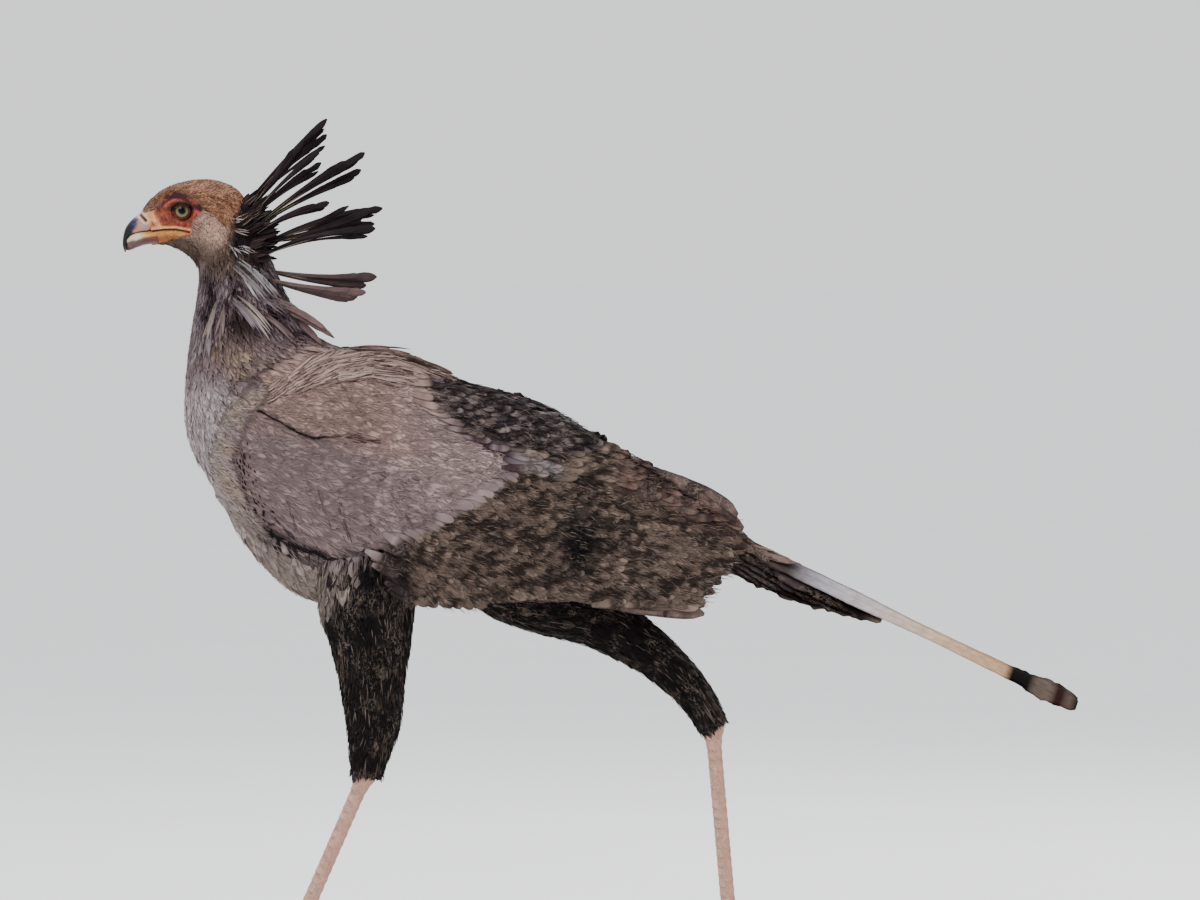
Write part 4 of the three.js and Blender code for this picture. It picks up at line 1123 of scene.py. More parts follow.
def body_feathers(shape, rng, roots, length, half, rise=0.6, form=CONTOUR, turn=0.0, spread=0.1, colour=None,
                  sink=0.9, camber=0.2, thick=0.3, vary=0.12, mark=0.0, uneven=0.25):
    """Lays feathers on the body from their roots towards the tail. Their sizes may be given one by one."""
    t, angle = roots[:, 0], roots[:, 1]
    count = len(t)
    length = np.broadcast_to(length, count) * rng.uniform(0.85, 1.2, count)
    half = np.broadcast_to(half, count) * rng.uniform(0.85, 1.15, count)
    size = body_axes(t, angle)[1]
    # Where the sections run together a feather has no room, and is left out.
    held = size > 1
    small = 1e-2
    around = np.linalg.norm(body(t, angle + small) - body(t, angle), axis=-1) / small
    s = form["s"][None]
    bend = np.broadcast_to(turn, count) + rng.normal(0, spread, count)
    places = t[:, None] + s * (length * np.cos(bend) / np.maximum(size, 1))[:, None]
    angles = angle[:, None] + s * (length * np.sin(bend) / np.maximum(around, 4))[:, None]
    height = -sink * coat_depth(t)[:, None] * (1 - s) ** 1.3
    height = height + (rise + rng.normal(0, uneven, count))[:, None] * s
    middle = body(places, angles, height)
    normal = body_axes(places, angles)[0]
    tint = colour if colour is not None else paint(body(t, angle))
    tint = tint * rng.uniform(1 - vary, 1 + vary, (count, 1))
    across = (-1, 0, 1) if half.mean() < NARROW else (-1, -0.5, 0, 0.5, 1)
    vanes(shape, middle[held], normal[held], half[held, None] * form["w"][None], tint[held], mark,
          across=across, under=(), thick=thick, camber=camber, bake=unwrap(t, angle)[held])


def body_wisps(shape, rng, roots, length, rise=1.7, half=0.55, spread=0.3):
    """Loose barbs that soften the edges of the body's feathers."""
    body_feathers(shape, rng, roots, length, half, rise=rise, form=WISP, spread=spread, sink=0.08, camber=0,
                  thick=0.5, vary=0.2, uneven=0.5, mark=0.2)


def head_coat(rng):
    """Short, close feathers on crown, cheeks and throat, none on the bare face."""
    shape = Shape()
    roots = scatter(rng, 0.08, 5.6, lambda t: (-np.pi, np.pi), 2.1, 1.9)
    t, turn = roots.T
    x, y, z = body(t, turn).T
    clear = depth_in(x, z, BARE_FACE) < -0.4
    keep = (clear & (z > 912)) | ((np.abs(y) < 5) & ((z > 976) | (z < 921)))
    roots = roots[keep & ((t > 0.5) | (z > 960))]
    size = np.interp(roots[:, 0], [0.1, 0.5, 2, 4, 5.6], [3, 3.6, 5.5, 8.5, 11])
    body_feathers(shape, rng, roots, size, 0.24 * size, rise=0.5, form=LANCE, vary=0.2, uneven=0.2)
    forehead(shape, rng)
    beard = roots[(np.abs(roots[:, 1]) > 2.6) & (roots[:, 0] > 1.2) & (roots[:, 0] < 3.6)]
    body_wisps(shape, rng, np.repeat(beard, 3, axis=0), 9, rise=2.6, half=0.4)
    return shape


def neck_coat(rng):
    """Narrow feathers on the neck, mottled dark."""
    shape = Shape()
    roots = scatter(rng, 5.1, 10.8, lambda t: (-np.pi, np.pi), 6.8, 5.4)
    size = np.interp(roots[:, 0], [5, 7, 9, 10.8], [13, 20, 26, 30])
    body_feathers(shape, rng, roots, size, 0.18 * size, rise=1.0, form=LANCE, spread=0.22, vary=0.24)
    return shape


def neck_barbs(rng):
    shape = Shape()
    roots = scatter(rng, 5.1, 10.8, lambda t: (-np.pi, np.pi), 4.9, 4.0)
    body_wisps(shape, rng, roots, np.interp(roots[:, 0], [5, 8, 10.8], [10, 17, 20]), spread=0.4)
    return shape


def torso_roots(rng, lower, along, around):
    """Places on breast, belly and flanks, or on the back and rump, where the wings leave them bare."""

    def angles(t):
        edge = float(angle_at(np.array([t]), np.array([0.62]))[0])
        return (edge, 2 * np.pi - edge) if lower else (-edge, edge)

    roots = scatter(rng, 10.3, 20.6, angles, along, around)
    roots[:, 1] = np.where(roots[:, 1] > np.pi, roots[:, 1] - 2 * np.pi, roots[:, 1])
    return roots


def torso_coat(rng, lower):
    shape = Shape()
    roots = torso_roots(rng, lower, 9.6, 8.2)
    size = np.interp(roots[:, 0], [10, 13, 17, 20.6], [30, 38, 42, 36])
    body_feathers(shape, rng, roots, size, 0.23 * size, rise=1.4, spread=0.18, vary=0.14)
    return shape


def torso_barbs(rng, lower):
    shape = Shape()
    roots = torso_roots(rng, lower, 6.3, 5.4)
    body_wisps(shape, rng, roots, np.interp(roots[:, 0], [10, 15, 20.6], [18, 23, 25]), rise=2.4, spread=0.36)
    return shape


# Loose feathers: root x, z, tip x, z, half width, bow and colour.
PLUMES = [
    (-415, 903, -373, 863, 4.6, 3, "948e90"), (-420, 898, -383, 862, 4.0, 2, "857d80"),
    (-407, 880, -393, 862, 2.4, 1, "aaa4a4"), (-418, 862, -376, 815, 5.6, 4, "998b85"),
    (-421, 858, -389, 822, 4.4, 3, "83757a"), (-439, 854, -450, 813, 4.2, 0, "82766f"),
    (-432, 852, -436, 812, 3.6, 0, "70625f"), (-395, 864, -362, 843, 3.6, 2, "77676a"),
    (-370, 858, -345, 840, 4.0, 2, "85716c"), (-414, 918, -397, 914, 2.2, 1, "a0989a"),
    (-425, 918, -415, 911, 2.4, 1, "9a9292"), (-419, 937, -406, 935, 2.0, 0, "968984"),
    (-421, 948, -408, 951, 1.8, 0, "b3a69f"), (-446, 830, -450, 792, 4.0, 0, "7d7276"),
    (-386, 842, -352, 814, 4.2, 3, "6c5a59"),
]
MANTLE_TIPS = [
    (-269, 798, -221, 789, 3.6, 3, "7c645b"), (-276, 801, -220, 794, 3.6, 3, "8a7065"),
    (-262, 792, -219, 784, 3.6, 2, "5d4741"), (-228, 779, -172, 766, 3.4, 3, "66504b"),
    (-232, 773, -179, 761, 3.4, 2, "7d665e"), (-219, 782, -176, 772, 3.2, 3, "8a7268"),
    (-250, 786, -215, 781, 3.4, 2, "6f5850"), (-290, 800, -240, 799, 3.4, 2, "92786c"),
]
PLUME_WIDTH = np.array([[0, 0.15, 0.45, 0.7, 0.88, 1.0], [0.3, 0.7, 1.0, 0.9, 0.5, 0.06]])


def plumes(rng, side, table):
    """Loose feathers that lie on the body from root to tip, and stand free where they pass its outline."""
    shape = Shape()
    table = [row for row in table for _ in range(4)]
    rows = np.array([row[:6] for row in table], float)
    rows[:, :4] += rng.normal(0, [1.6, 1.6, 3.2, 3.2], (len(rows), 4))
    rows[:, 4] *= rng.uniform(0.3, 0.62, len(rows))
    s = np.linspace(0, 1, 15)
    x = mix(rows[:, 0:1], rows[:, 2:3], s)
    z = mix(rows[:, 1:2], rows[:, 3:4], s) + rows[:, 5:6] * np.sin(np.pi * s)
    surface = side_at(x, z)
    start = np.maximum(surface[:, :1], 6) - 2.5
    end = np.maximum(surface[:, -1:], 7) + 4.5
    y = np.maximum(mix(start, end, s), surface + 1.5 * np.sin(np.pi * np.minimum(s + 0.15, 1)))
    for _ in range(6):
        y[:, 1:-1] = (y[:, :-2] + 2 * y[:, 1:-1] + y[:, 2:]) / 4
    middle = np.stack([x, side * y, z], -1)
    normal = np.broadcast_to(np.array([0, side, 0.35]), middle.shape)
    half = rows[:, 4:5] * np.interp(s, *PLUME_WIDTH)
    half = half * (1 + 0.12 * noise(np.stack([x, 9.0 * np.arange(len(rows))[:, None] + 0 * x, z], -1), 5))
    tint = np.array([rgb(row[6]) for row in table])[:, None] * mix(0.6, 1.0, np.sqrt(s))[None, :, None]
    tint = tint * rng.uniform(0.7, 1.12, (len(rows), 1, 1))
    rim = (rgb("2f2426"), np.broadcast_to(0.5 * s, half.shape))
    vanes(shape, middle, normal, half, tint, 0.1, under=(), thick=0.5, camber=0.2, edge=rim)
    return shape


# The belly's pale feathers reach down over the front of the thighs to this line.
BELLY_LINE = [(-345, 470), (-328, 494), (-310, 524), (-276, 561), (-262, 590)]


# How far apart the roots of the thighs' feathers are, along and round them.
THIGH_APART = (7.8, 7)
# About how long a thigh is from one row of SHIN to the next.
SHIN_STRETCH = 47
THIGH_WISPS = 3400
THIGH_LOCKS = 110

def thigh_roots(rng, side):
    """Staggered rows of places on a thigh."""
    rows = []
    place, row = 0.5, 0
    while place < SHIN_END - 0.25:
        values = smooth(SHIN[side], place)
        count = int(math.pi * (values[3] + values[4]) / THIGH_APART[1])
        turn = (np.arange(count) + 0.5 * (row % 2) + rng.uniform(-0.3, 0.3, count)) / count * 2 * np.pi
        rows.append(np.stack([place + rng.uniform(-0.08, 0.08, count), turn], -1))
        place += THIGH_APART[0] / SHIN_STRETCH
        row += 1
    return np.concatenate(rows)

def thigh_vanes(shape, side, place, turn, height, half, tint, mark, inner=0.01, **form):
    """Lays feathers along places on a thigh. Their normals are taken a little inside its end."""
    middle = thigh(side, place, turn, height)
    normal = thigh_axes(side, np.minimum(place, SHIN_END - inner), turn)[0]
    vanes(shape, middle, normal, half, tint, mark, under=(), **form)

def thigh_coat(rng, side):
    """Black, shaggy feathers on a thigh, with longer ones that hang over the heel."""
    shape = Shape()
    roots = thigh_roots(rng, side)
    count = len(roots)
    size = thigh_axes(side, roots[:, 0], roots[:, 1])[1]
    length = np.interp(roots[:, 0], [0, 3, 5.6, 6.4, 7], [34, 30, 27, 36, 42]) * rng.uniform(0.8, 1.25, count)
    half = np.interp(roots[:, 0], [0, 4, 7], [6.5, 5, 3.6])[:, None] * CONTOUR["w"][None]
    s = CONTOUR["s"][None]
    place = roots[:, :1] + s * (length / size)[:, None]
    place = np.minimum(place, SHIN_END + 0.05 + 0.25 * s * rng.uniform(0, 1, (count, 1)))
    turn = roots[:, 1:] + s * rng.normal(0, 0.08, count)[:, None]
    lift = (1.2 + rng.normal(0, 0.8, count))[:, None]
    height = -thigh_depth(roots[:, :1]) * (1 - s) ** 1.3 * 0.9 + lift * s
    points = thigh(side, roots[:, 0], roots[:, 1])
    fleck = noise(points, 9) + 0.5 * noise(points, 30)
    tint = mix(rgb("110a0c"), rgb("4a3e37"), step(0.35, 0.95, fleck)[:, None])
    x, z = points[:, 0], points[:, 2]
    pale = step(-6, 6, z - np.interp(x, *np.transpose(BELLY_LINE))) * step(-262, -274, x)
    tint = mix(tint, paint(points), pale[:, None] * 0.9) * rng.uniform(0.8, 1.25, (count, 1))
    bake = np.stack([np.mod(roots[:, 1] / (2 * np.pi), 1), roots[:, 0] / (SHIN_END + 0.5)], -1)
    thigh_vanes(shape, side, place, turn, height, half, tint, 0.45, camber=0.25, bake=bake)
    thigh_wisps(shape, rng, side, roots, length, size, tint, bake)
    thigh_locks(shape, rng, side)
    return shape

def thigh_wisps(shape, rng, side, roots, length, size, tint, bake):
    """Loose barbs over a thigh's feathers, a few of them fair."""
    count = THIGH_WISPS
    several = rng.integers(0, len(roots), count)
    s = WISP["s"][None]
    reach = length[several] * rng.uniform(0.4, 0.75, count) / size[several]
    place = roots[several, :1] + rng.uniform(-0.2, 0.3, (count, 1)) + s * reach[:, None]
    place = np.minimum(place, SHIN_END + 0.4 * s * rng.uniform(0, 1, (count, 1)))
    turn = roots[several, 1:] + rng.uniform(-0.3, 0.3, (count, 1)) + s * rng.normal(0, 0.09, (count, 1))
    height = 1.0 + s * rng.uniform(1, 3.6, (count, 1))
    fair = rng.uniform(0, 1, (count, 1)) < 0.12
    tint = np.where(fair, rgb("62564f"), tint[several] * rng.uniform(0.7, 1.2, (count, 1)))
    half = rng.uniform(0.4, 0.8, count)[:, None] * WISP["w"][None]
    thigh_vanes(shape, side, place, turn, height, half, tint, 0.0, across=(-1, 0, 1), bake=bake[several])

def thigh_locks(shape, rng, side):
    """Long pointed locks that hang from a thigh's end over the top of the bare leg, longest in front."""
    count = THIGH_LOCKS
    s = np.linspace(0, 1, 9)[None]
    root = rng.uniform(5.8, 6.9, count)[:, None]
    turn = rng.uniform(0, 2 * np.pi, count)[:, None] + s * rng.normal(0, 0.2, (count, 1))
    rear = 0.5 - 0.5 * np.cos(turn[:, :1])
    end = SHIN_END + rng.uniform(0.1, 0.62, (count, 1)) * mix(1, 0.45, rear)
    place = mix(root, end, s)
    out = -1.5 * (1 - s) + rng.uniform(0, 2.6, (count, 1)) * s - 5 * np.maximum(place - SHIN_END, 0)
    half = rng.uniform(2.2, 4.4, (count, 1)) * np.array([0.5, 0.75, 0.95, 1, 0.95, 0.82, 0.62, 0.38, 0.06])
    lumps = np.stack([9 * s + 0 * turn, 7.0 * np.arange(count)[:, None] + 0 * s + 0 * turn, 0 * turn], -1)
    half = half * (1 + 0.15 * noise(lumps, 1.1))
    tint = mix(rgb("110a0c"), rgb("3d332f"), rng.uniform(0, 1, (count, 1)) ** 2)
    thigh_vanes(shape, side, place, turn, out, half, tint, 0.5, inner=0.02, camber=0.3,
                bake=np.full((count, 2), 0.95))

# Wings

WING_FRONT = {"x": -200, "top": 760, "low": 548, "top_out": 34, "low_out": 84}
WING_BACK = {"x": 165, "top": 612, "low": 492, "top_out": 18, "low_out": 47}
SOFTNESS = 5


def wing_side(x, z):
    """The folded wing's inner face: how far it stands from the middle plane at places seen from the side."""
    share = np.clip((x - WING_FRONT["x"]) / (WING_BACK["x"] - WING_FRONT["x"]), -0.5, 1.1)
    row = {key: mix(WING_FRONT[key], WING_BACK[key], share) for key in WING_FRONT}
    down = np.clip((row["top"] - z) / (row["top"] - row["low"]), 0, 1.2)
    face = mix(row["top_out"], row["low_out"], np.sin(down * np.pi / 2))
    return (side_at(x, z, HEAD_END) ** SOFTNESS + face**SOFTNESS) ** (1 / SOFTNESS)


def covert_point(side, x, z, out):
    """Points on the wing's mass of coverts, which swells from its edges."""
    t, angle, _ = place_on_body(x, z, HEAD_END)
    swell = np.sqrt(np.clip((depth_in(x, z, COVERTS) + 7) / 77, 0, 1))
    points = body(t, angle, 2.0 + 12 * swell + out)
    face = wing_side(points[..., 0], points[..., 2]) + 3 + 11 * swell + out
    behind = step(-330, -230, x)
    height = np.maximum(np.abs(points[..., 1]), mix(0, face, behind))
    points[..., 1] = side * height
    return points


def normals_by_view(point, side, x, z):
    """Normals of a surface given by places seen from the side."""
    small = 1.5
    along = point(side, x + small, z, 0.0) - point(side, x - small, z, 0.0)
    up = point(side, x, z + small, 0.0) - point(side, x, z - small, 0.0)
    return unit(np.cross(up, along) * side)


COVERT_FORM = {
    "s": np.array([0, 0.2, 0.4, 0.6, 0.76, 0.88, 0.96, 1.0]),
    "w": np.array([0.4, 0.72, 0.92, 1.0, 0.97, 0.8, 0.48, 0.12]),
}


def covert_tips(rng):
    """Places over the coverts and their feathers' lengths, closer and shorter towards the wing's front."""
    front = [(-330, 800), (-392, 768), (-425, 725), (-441, 675), (-432, 635), (-407, 611)]
    kept = np.empty((0, 2))
    sizes = np.empty(0)
    tries = rng.uniform((-445, 560), (-80, 802), (9000, 2))
    inside = depth_in(tries[:, 0], tries[:, 1], COVERTS) > 1.5
    tries = tries[inside & (line_distance(tries[:, 0], tries[:, 1], front)[0] > 9)]
    lengths = np.clip(22 + 0.26 * line_distance(tries[:, 0], tries[:, 1], front)[0], 22, 80)
    for place, length in zip(tries, lengths):
        if len(kept) and (np.hypot(*(kept - place).T) < 0.18 * (length + sizes) / 2).any():
            continue
        kept = np.vstack([kept, place])
        sizes = np.append(sizes, length)
    return kept, sizes


def covert_slope(x, z):
    """How steeply the coverts run down towards the rear at a place, in radians."""
    return np.radians(16 + 26 * np.clip((700 - z - 0.35 * (x + 440)) / 120, 0, 1))


def fold(x, z):
    """How far feathers over the wing's crease stand out, and those under it lie in."""
    above = z > np.interp(x, *np.transpose(CREASE))
    return np.where(above, 1.6, -0.8) * np.exp(-line_distance(x, z, CREASE)[0] / 14) * step(-262, -300, x)


def cover(shape, rng, side, tips, length, point, shades, rise=0.25, turn=0.1, wide=0.28, mark=0.0, vary=0.07):
    """Broad soft feathers whose tips lie at given places seen from the side."""
    x, z = tips.T
    count = len(x)
    slope = covert_slope(x, z) + rng.normal(0, turn, count)
    length = length * rng.uniform(0.9, 1.12, count)
    half = np.clip(wide * length, 4, 20) * rng.uniform(0.9, 1.15, count)
    s = COVERT_FORM["s"][None]
    back = (1 - s) * length[:, None]
    px = x[:, None] - np.cos(slope)[:, None] * back
    pz = z[:, None] + np.sin(slope)[:, None] * back
    height = -1.6 * (1 - s) + (rise + rng.normal(0, 0.4 * rise, count) + fold(x, z))[:, None] * s**2
    middle = point(side, px, pz, height)
    normal = normals_by_view(point, side, px, pz)
    tint = shades(middle, paint(middle)) * rng.uniform(1 - vary, 1 + vary, (count, 1, 1))
    width = half[:, None] * COVERT_FORM["w"][None]
    width = width * (1 + 0.09 * noise(np.stack([px, 11.0 * np.arange(count)[:, None] + 0 * px, pz], -1), 6))
    vanes(shape, middle, normal, width, tint, mark, across=(-1, -0.6, -0.2, 0.2, 0.6, 1), under=(), thick=0.2,
          camber=0.05, bake=unwrap_wing(side, x, z))


def wing_coverts(rng, side):
    """The wing's coverts, with loose barbs over their edges."""
    shape = Shape()
    cover(shape, rng, side, *covert_tips(rng), covert_point, covert_shades, wide=0.19)
    wing_wisps(shape, rng, side, 8000, COVERTS, covert_point, covert_shades, 1.4, (9, 22))
    wing_wisps(shape, rng, side, 6400, FRONT_STRIP, covert_point, strip_shades, 3.0, (9, 20), vary=0.3)
    for line, width, code, spread, count in COVERT_LINES:
        line_barbs(shape, rng, side, line, width, code, spread, count)
    return shape


# Dark lines between the coverts: places, half width of the barbs, colour, how far they scatter, and how many.
# The first two, along the crease, and the third, along the wing's lower edge, are painted shade.
COVERT_LINES = [
    (CREASE[:6], 0.8, "1b1116", 0.7, 70), (CREASE[5:], 0.6, "4a3a3c", 1.4, 34),
    (WING_FOOT, 0.9, "150d10", 1.5, 90),
    ([(-293, 634), (-287, 610), (-280, 588)], 0.6, "5a4b4b", 1.0, 22),
    ([(-366, 615), (-355, 601), (-343, 590)], 0.6, "453739", 1.0, 20),
    ([(-352, 642), (-346, 618), (-339, 598)], 0.5, "6c5c5b", 0.9, 18),
    ([(-316, 648), (-309, 622), (-300, 598)], 0.5, "6c5c5b", 0.9, 18),
    ([(-318, 784), (-291, 752), (-262, 712)], 0.5, "6b5650", 1.2, 24),
    ([(-238, 640), (-221, 618), (-208, 600)], 0.5, "73625f", 1.0, 18),
    ([(-408, 684), (-402, 654), (-392, 630), (-372, 606)], 1.1, "191114", 9.0, 120),
    ([(-414, 700), (-398, 660)], 0.8, "54403f", 7.0, 40),
]


def line_barbs(shape, rng, side, line, width, code, spread, count):
    """Dark barbs strung along a line that is seen from the side."""
    line = np.array(line, float)
    reach = reach_along(line)
    size = rng.uniform(0.6, 1.2, (count, 1)) * (9 if spread < 3 else 4.5)
    along = rng.uniform(0, reach[-1], (count, 1)) + (WISP["s"] - 0.5) * size
    x = np.interp(along, reach, line[:, 0]) + rng.normal(0, spread, (count, 1))
    z = np.interp(along, reach, line[:, 1]) + rng.normal(0, spread, (count, 1))
    middle = covert_point(side, x, z, 2.2 + fold(x, z) * 0.9)
    normal = normals_by_view(covert_point, side, x, z)
    half = rng.uniform(0.5, 1.1, (count, 1)) * width * WISP["w"]
    tint = rgb(code) * rng.uniform(0.7, 1.3, (count, 1))
    vanes(shape, middle, normal, half, tint, **BARB, thick=0.4, camber=0,
          bake=unwrap_wing(side, x[:, 1], z[:, 1]))


FRONT_STRIP = [
    (-388, 772), (-424, 732), (-443, 678), (-436, 634), (-410, 602), (-370, 584), (-384, 612), (-402, 644),
    (-414, 680), (-400, 722), (-376, 752),
]


def strip_shades(points, tint):
    """Whitish down along the wing's front edge, with dark specks where it meets the coverts."""
    x, z = points[..., 0], points[..., 2]
    depth = depth_in(x, z, FRONT_STRIP)
    inner = line_distance(x, z, FRONT_STRIP[6:])[0]
    pale = mix(rgb("a39391"), rgb("a99689"), step(-0.4, 0.4, noise(points, 14))[..., None])
    hairs = step(0.0, 0.6, noise(points * np.array([1.0, 1.0, 0.45]), 3.2))
    pale = mix(pale, rgb("7a6c66"), (0.55 * hairs)[..., None])
    colour = mix(tint, pale, (0.85 * step(0, 8, depth) * step(0, 8, inner))[..., None])
    specks = bell(inner, 7) * step(720, 690, z) * step(0.1, 0.5, noise(points, 3))
    return mix(colour, rgb("231a1c"), (0.8 * specks)[..., None])


UPPER_WING = [
    (-208, 782), (-161, 760), (-115, 751), (-69, 736), (-46, 726), (0, 694), (46, 676), (92, 655), (115, 636),
    (168, 612), (160, 592), (60, 636), (0, 652), (-80, 660), (-90, 682), (-140, 702), (-188, 736),
]


def upper_point(side, x, z, out):
    """Points over the wing's upper rear edge, where it meets the back."""
    t, angle, _ = place_on_body(x, z, HEAD_END)
    points = body(t, angle, 2.5 + out)
    top = np.interp(x, [-205, -140, -52, 48, 166], [775, 755, 724, 678, 622])
    face = (wing_side(x, z) + 12.5 + out) * (1 - step(top - 3, top + 10, z))
    points[..., 1] = side * np.maximum(np.abs(points[..., 1]), face)
    return points


def plain_shades(points, tint):
    return tint


def upper_coverts(rng, side):
    """Soft dark feathers over the wing's upper rear edge."""
    shape = Shape()
    tips = spaced(rng, UPPER_WING, 3000, 6.0)
    cover(shape, rng, side, tips, 32.0, upper_point, plain_shades, rise=1.0, turn=0.2, wide=0.16, mark=0.3,
          vary=0.25)
    wing_wisps(shape, rng, side, 3000, UPPER_WING, upper_point, plain_shades, 2.2, (8, 16), pale=0.12)
    return shape


def spaced(rng, outline, tries, apart):
    """Random places in an outline, at least so far apart."""
    found = rng.uniform(np.min(outline, axis=0), np.max(outline, axis=0), (tries, 2))
    kept = np.empty((0, 2))
    for place in found[depth_in(found[:, 0], found[:, 1], outline) > 0]:
        if not len(kept) or (np.hypot(*(kept - place).T) > apart).all():
            kept = np.vstack([kept, place])
    return kept


def wing_wisps(shape, rng, side, tries, outline, point, shades, rise, length=(8, 19), pale=0.0, vary=0.12):
    """Loose barbs over a part of the wing."""
    low, high = np.min(outline, axis=0), np.max(outline, axis=0)
    x, z = rng.uniform(low, high, (tries, 2)).T
    inside = depth_in(x, z, outline) > 1
    x, z = x[inside], z[inside]
    count = len(x)
    slope = covert_slope(x, z) + rng.normal(0, 0.28, count)
    size = rng.uniform(*length, count)
    s = WISP["s"][None]
    px = x[:, None] + np.cos(slope)[:, None] * size[:, None] * (s - 0.5)
    pz = z[:, None] - np.sin(slope)[:, None] * size[:, None] * (s - 0.5)
    height = np.array([-0.2, 1.0, 1.0]) * rise + rng.normal(0, 0.3, (count, 1)) * s
    height = height + fold(x, z)[:, None] * 0.8
    middle = point(side, px, pz, height)
    normal = normals_by_view(point, side, px, pz)
    tint = shades(middle[:, 1:2], paint(middle[:, 1:2])) * rng.uniform(1 - vary, 1 + vary, (count, 1, 1))
    fair = (rng.uniform(0, 1, count) < pale)[:, None, None]
    tint = np.where(fair, mix(tint, rgb("8a7c70"), 0.75), tint)
    half = rng.uniform(0.3, 0.6, count)[:, None] * WISP["w"][None]
    vanes(shape, middle, normal, half, tint, 0.1, **BARB, thick=0.5, camber=0, bake=unwrap_wing(side, x, z))


def covert_shades(points, tint):
    """The wing's own greys: mauve low down, browner on the shoulder, with painted shade under the crease
    across it.
    """
    x, z = points[..., 0], points[..., 2]
    broad = noise(np.stack([x, 0 * x, z], -1), 40)
    fine = noise(np.stack([0.35 * (x + z), 0 * x, z - 0.4 * x], -1), 7)
    mauve = np.broadcast_to(rgb("948180"), tint.shape)
    shoulder = step(700, 740, z + 0.25 * (x + 400)) * step(-120, -220, x)
    colour = mix(mauve, rgb("ab8e85"), (0.8 * shoulder)[..., None])
    colour = mix(colour, rgb("ae9a97"), (0.8 * step(-240, -140, x + 0.3 * (z - 640)))[..., None])
    colour = colour * (1 + 0.1 * broad + 0.1 * fine)[..., None]
    rim = step(9, 2, line_distance(x, z, COVERT_EDGE[4:])[0])
    colour = mix(colour, rgb("85736f"), (0.55 * rim)[..., None])
    inside = step(-4, 4, depth_in(x, z, COVERTS))
    # Painted shade under the wing's crease.
    below = z < np.interp(x, *np.transpose(CREASE))
    shade = bell(line_distance(x, z, CREASE)[0], 7) * below * step(-270, -320, x)
    colour = mix(colour, rgb("544648"), (0.5 * shade)[..., None])
    return mix(tint, colour, (0.92 * inside)[..., None])


def wing_core(side):
    """A closed shell under the coverts, so that nothing shows through between them."""
    shape = Shape()
    rows, columns = 46, 30
    u = np.linspace(0.03, 0.97, rows)[:, None]
    v = np.linspace(0, 0.93, columns)[None]
    top = np.array([(-441, 690), (-425, 722), (-392, 762), (-330, 792), (-250, 784), (-200, 756), (-146, 702),
                    (-106, 680), (-88, 676)], float)
    low = np.array([(-441, 670), (-432, 640), (-400, 616), (-332, 588), (-282, 574), (-215, 596), (-138, 634),
                    (-106, 658), (-90, 668)], float)
    place = np.linspace(0, 1, len(top))
    x = mix(np.interp(u, place, top[:, 0]), np.interp(u, place, low[:, 0]), v)
    z = mix(np.interp(u, place, top[:, 1]), np.interp(u, place, low[:, 1]), v)
    outer = covert_point(side, x, z, -5.0)
    inner = outer.copy()
    inner[..., 1] = side * np.maximum(np.abs(outer[..., 1]) - 14, 4)
    edge = np.minimum(np.minimum(u, 1 - u) * 16, np.minimum(v, 1 - v) * 10)
    outer[..., 1] = mix(inner[..., 1], outer[..., 1], np.clip(edge, 0, 1))
    ring = np.concatenate([outer, inner[:, ::-1]], axis=1)
    vane = np.broadcast_to((0.4, 0.6, 0.0), ring.shape)
    # The shell is darker than the coverts: painted shade in the gaps between them.
    shape.add_tube(ring, side == LEFT, vane=vane, tint=covert_shades(ring, paint(ring)) * 0.6)
    return shape


def wing_point(side, x, z, out):
    return np.stack([x, side * (wing_side(x, z) + out), z], -1)


# Tiers of long feathers: their count, the roots and the tips of the first and the last, how far those
# stand out of the wing, the half width and the bow.
FLIGHT_TIERS = [
    (7, (-206, 604), (-238, 572), (134, 546), (116, 497), 6, 4, 18, 4),
    (15, (-128, 704), (-198, 614), (166, 609), (146, 548), 8, 6, 19, 10),
    (10, (-140, 744), (-122, 716), (-52, 712), (48, 655), 11, 9, 14, 5),
]


def flight_width(s, taper, power):
    """The half width along a flight feather, as a share of its widest. The sides round off to the tip."""
    end = np.clip((s - taper) / (1.001 - taper), 0, 1) ** power
    return np.minimum(0.55 + 0.9 * s, 1) * np.sqrt(np.clip(1 - end, 0, 1)) + 0.03


def flight_feathers(rng, side):
    """The long flight feathers, tier by tier."""
    shape = Shape()
    s = np.linspace(0, 1, 34)
    for tier, (count, root_a, root_b, tip_a, tip_b, out_a, out_b, half, bow) in enumerate(FLIGHT_TIERS):
        share = np.linspace(0, 1, count)
        root = mix(np.array(root_a, float), np.array(root_b, float), share[:, None])
        tip = mix(np.array(tip_a, float), np.array(tip_b, float), share[:, None])
        tip[:, 0] += rng.uniform(-24, 5, count)
        tip[:, 1] += rng.uniform(-3, 3, count)
        x = mix(root[:, :1], tip[:, :1], s[None])
        z = mix(root[:, 1:], tip[:, 1:], s[None]) + bow * np.sin(np.pi * s)[None]
        out = mix(out_a, out_b, share)[:, None] + 0 * s[None] + rng.uniform(-0.3, 0.3, count)[:, None]
        middle = wing_point(side, x, z, out)
        normal = unit(normals_by_view(wing_point, side, x, z) + np.array([0, 0, 0.14]))
        ragged = 1 + 0.05 * noise(np.stack([x / 3, z, 40.0 * share[:, None] + 0 * x], -1), 3)
        width = half * flight_width(s, *((0.74, 1.5) if tier == 0 else (0.82, 1.9)))[None] * ragged
        tint = paint(middle) * rng.uniform(0.5, 0.85, (count, 1, 1))
        vanes(shape, middle, normal, width, tint, 0.55, **BLADE, thick=0.7, camber=0.03)
    return shape


FLIGHT_AREA = [
    (-188, 594), (-138, 628), (-92, 660), (0, 672), (60, 652), (110, 632), (160, 604), (158, 556), (118, 506),
    (60, 508), (0, 516), (-100, 516), (-150, 504), (-214, 512), (-240, 562),
]


def flight_point(side, x, z, out):
    return wing_point(side, x, z, out + 10.5)


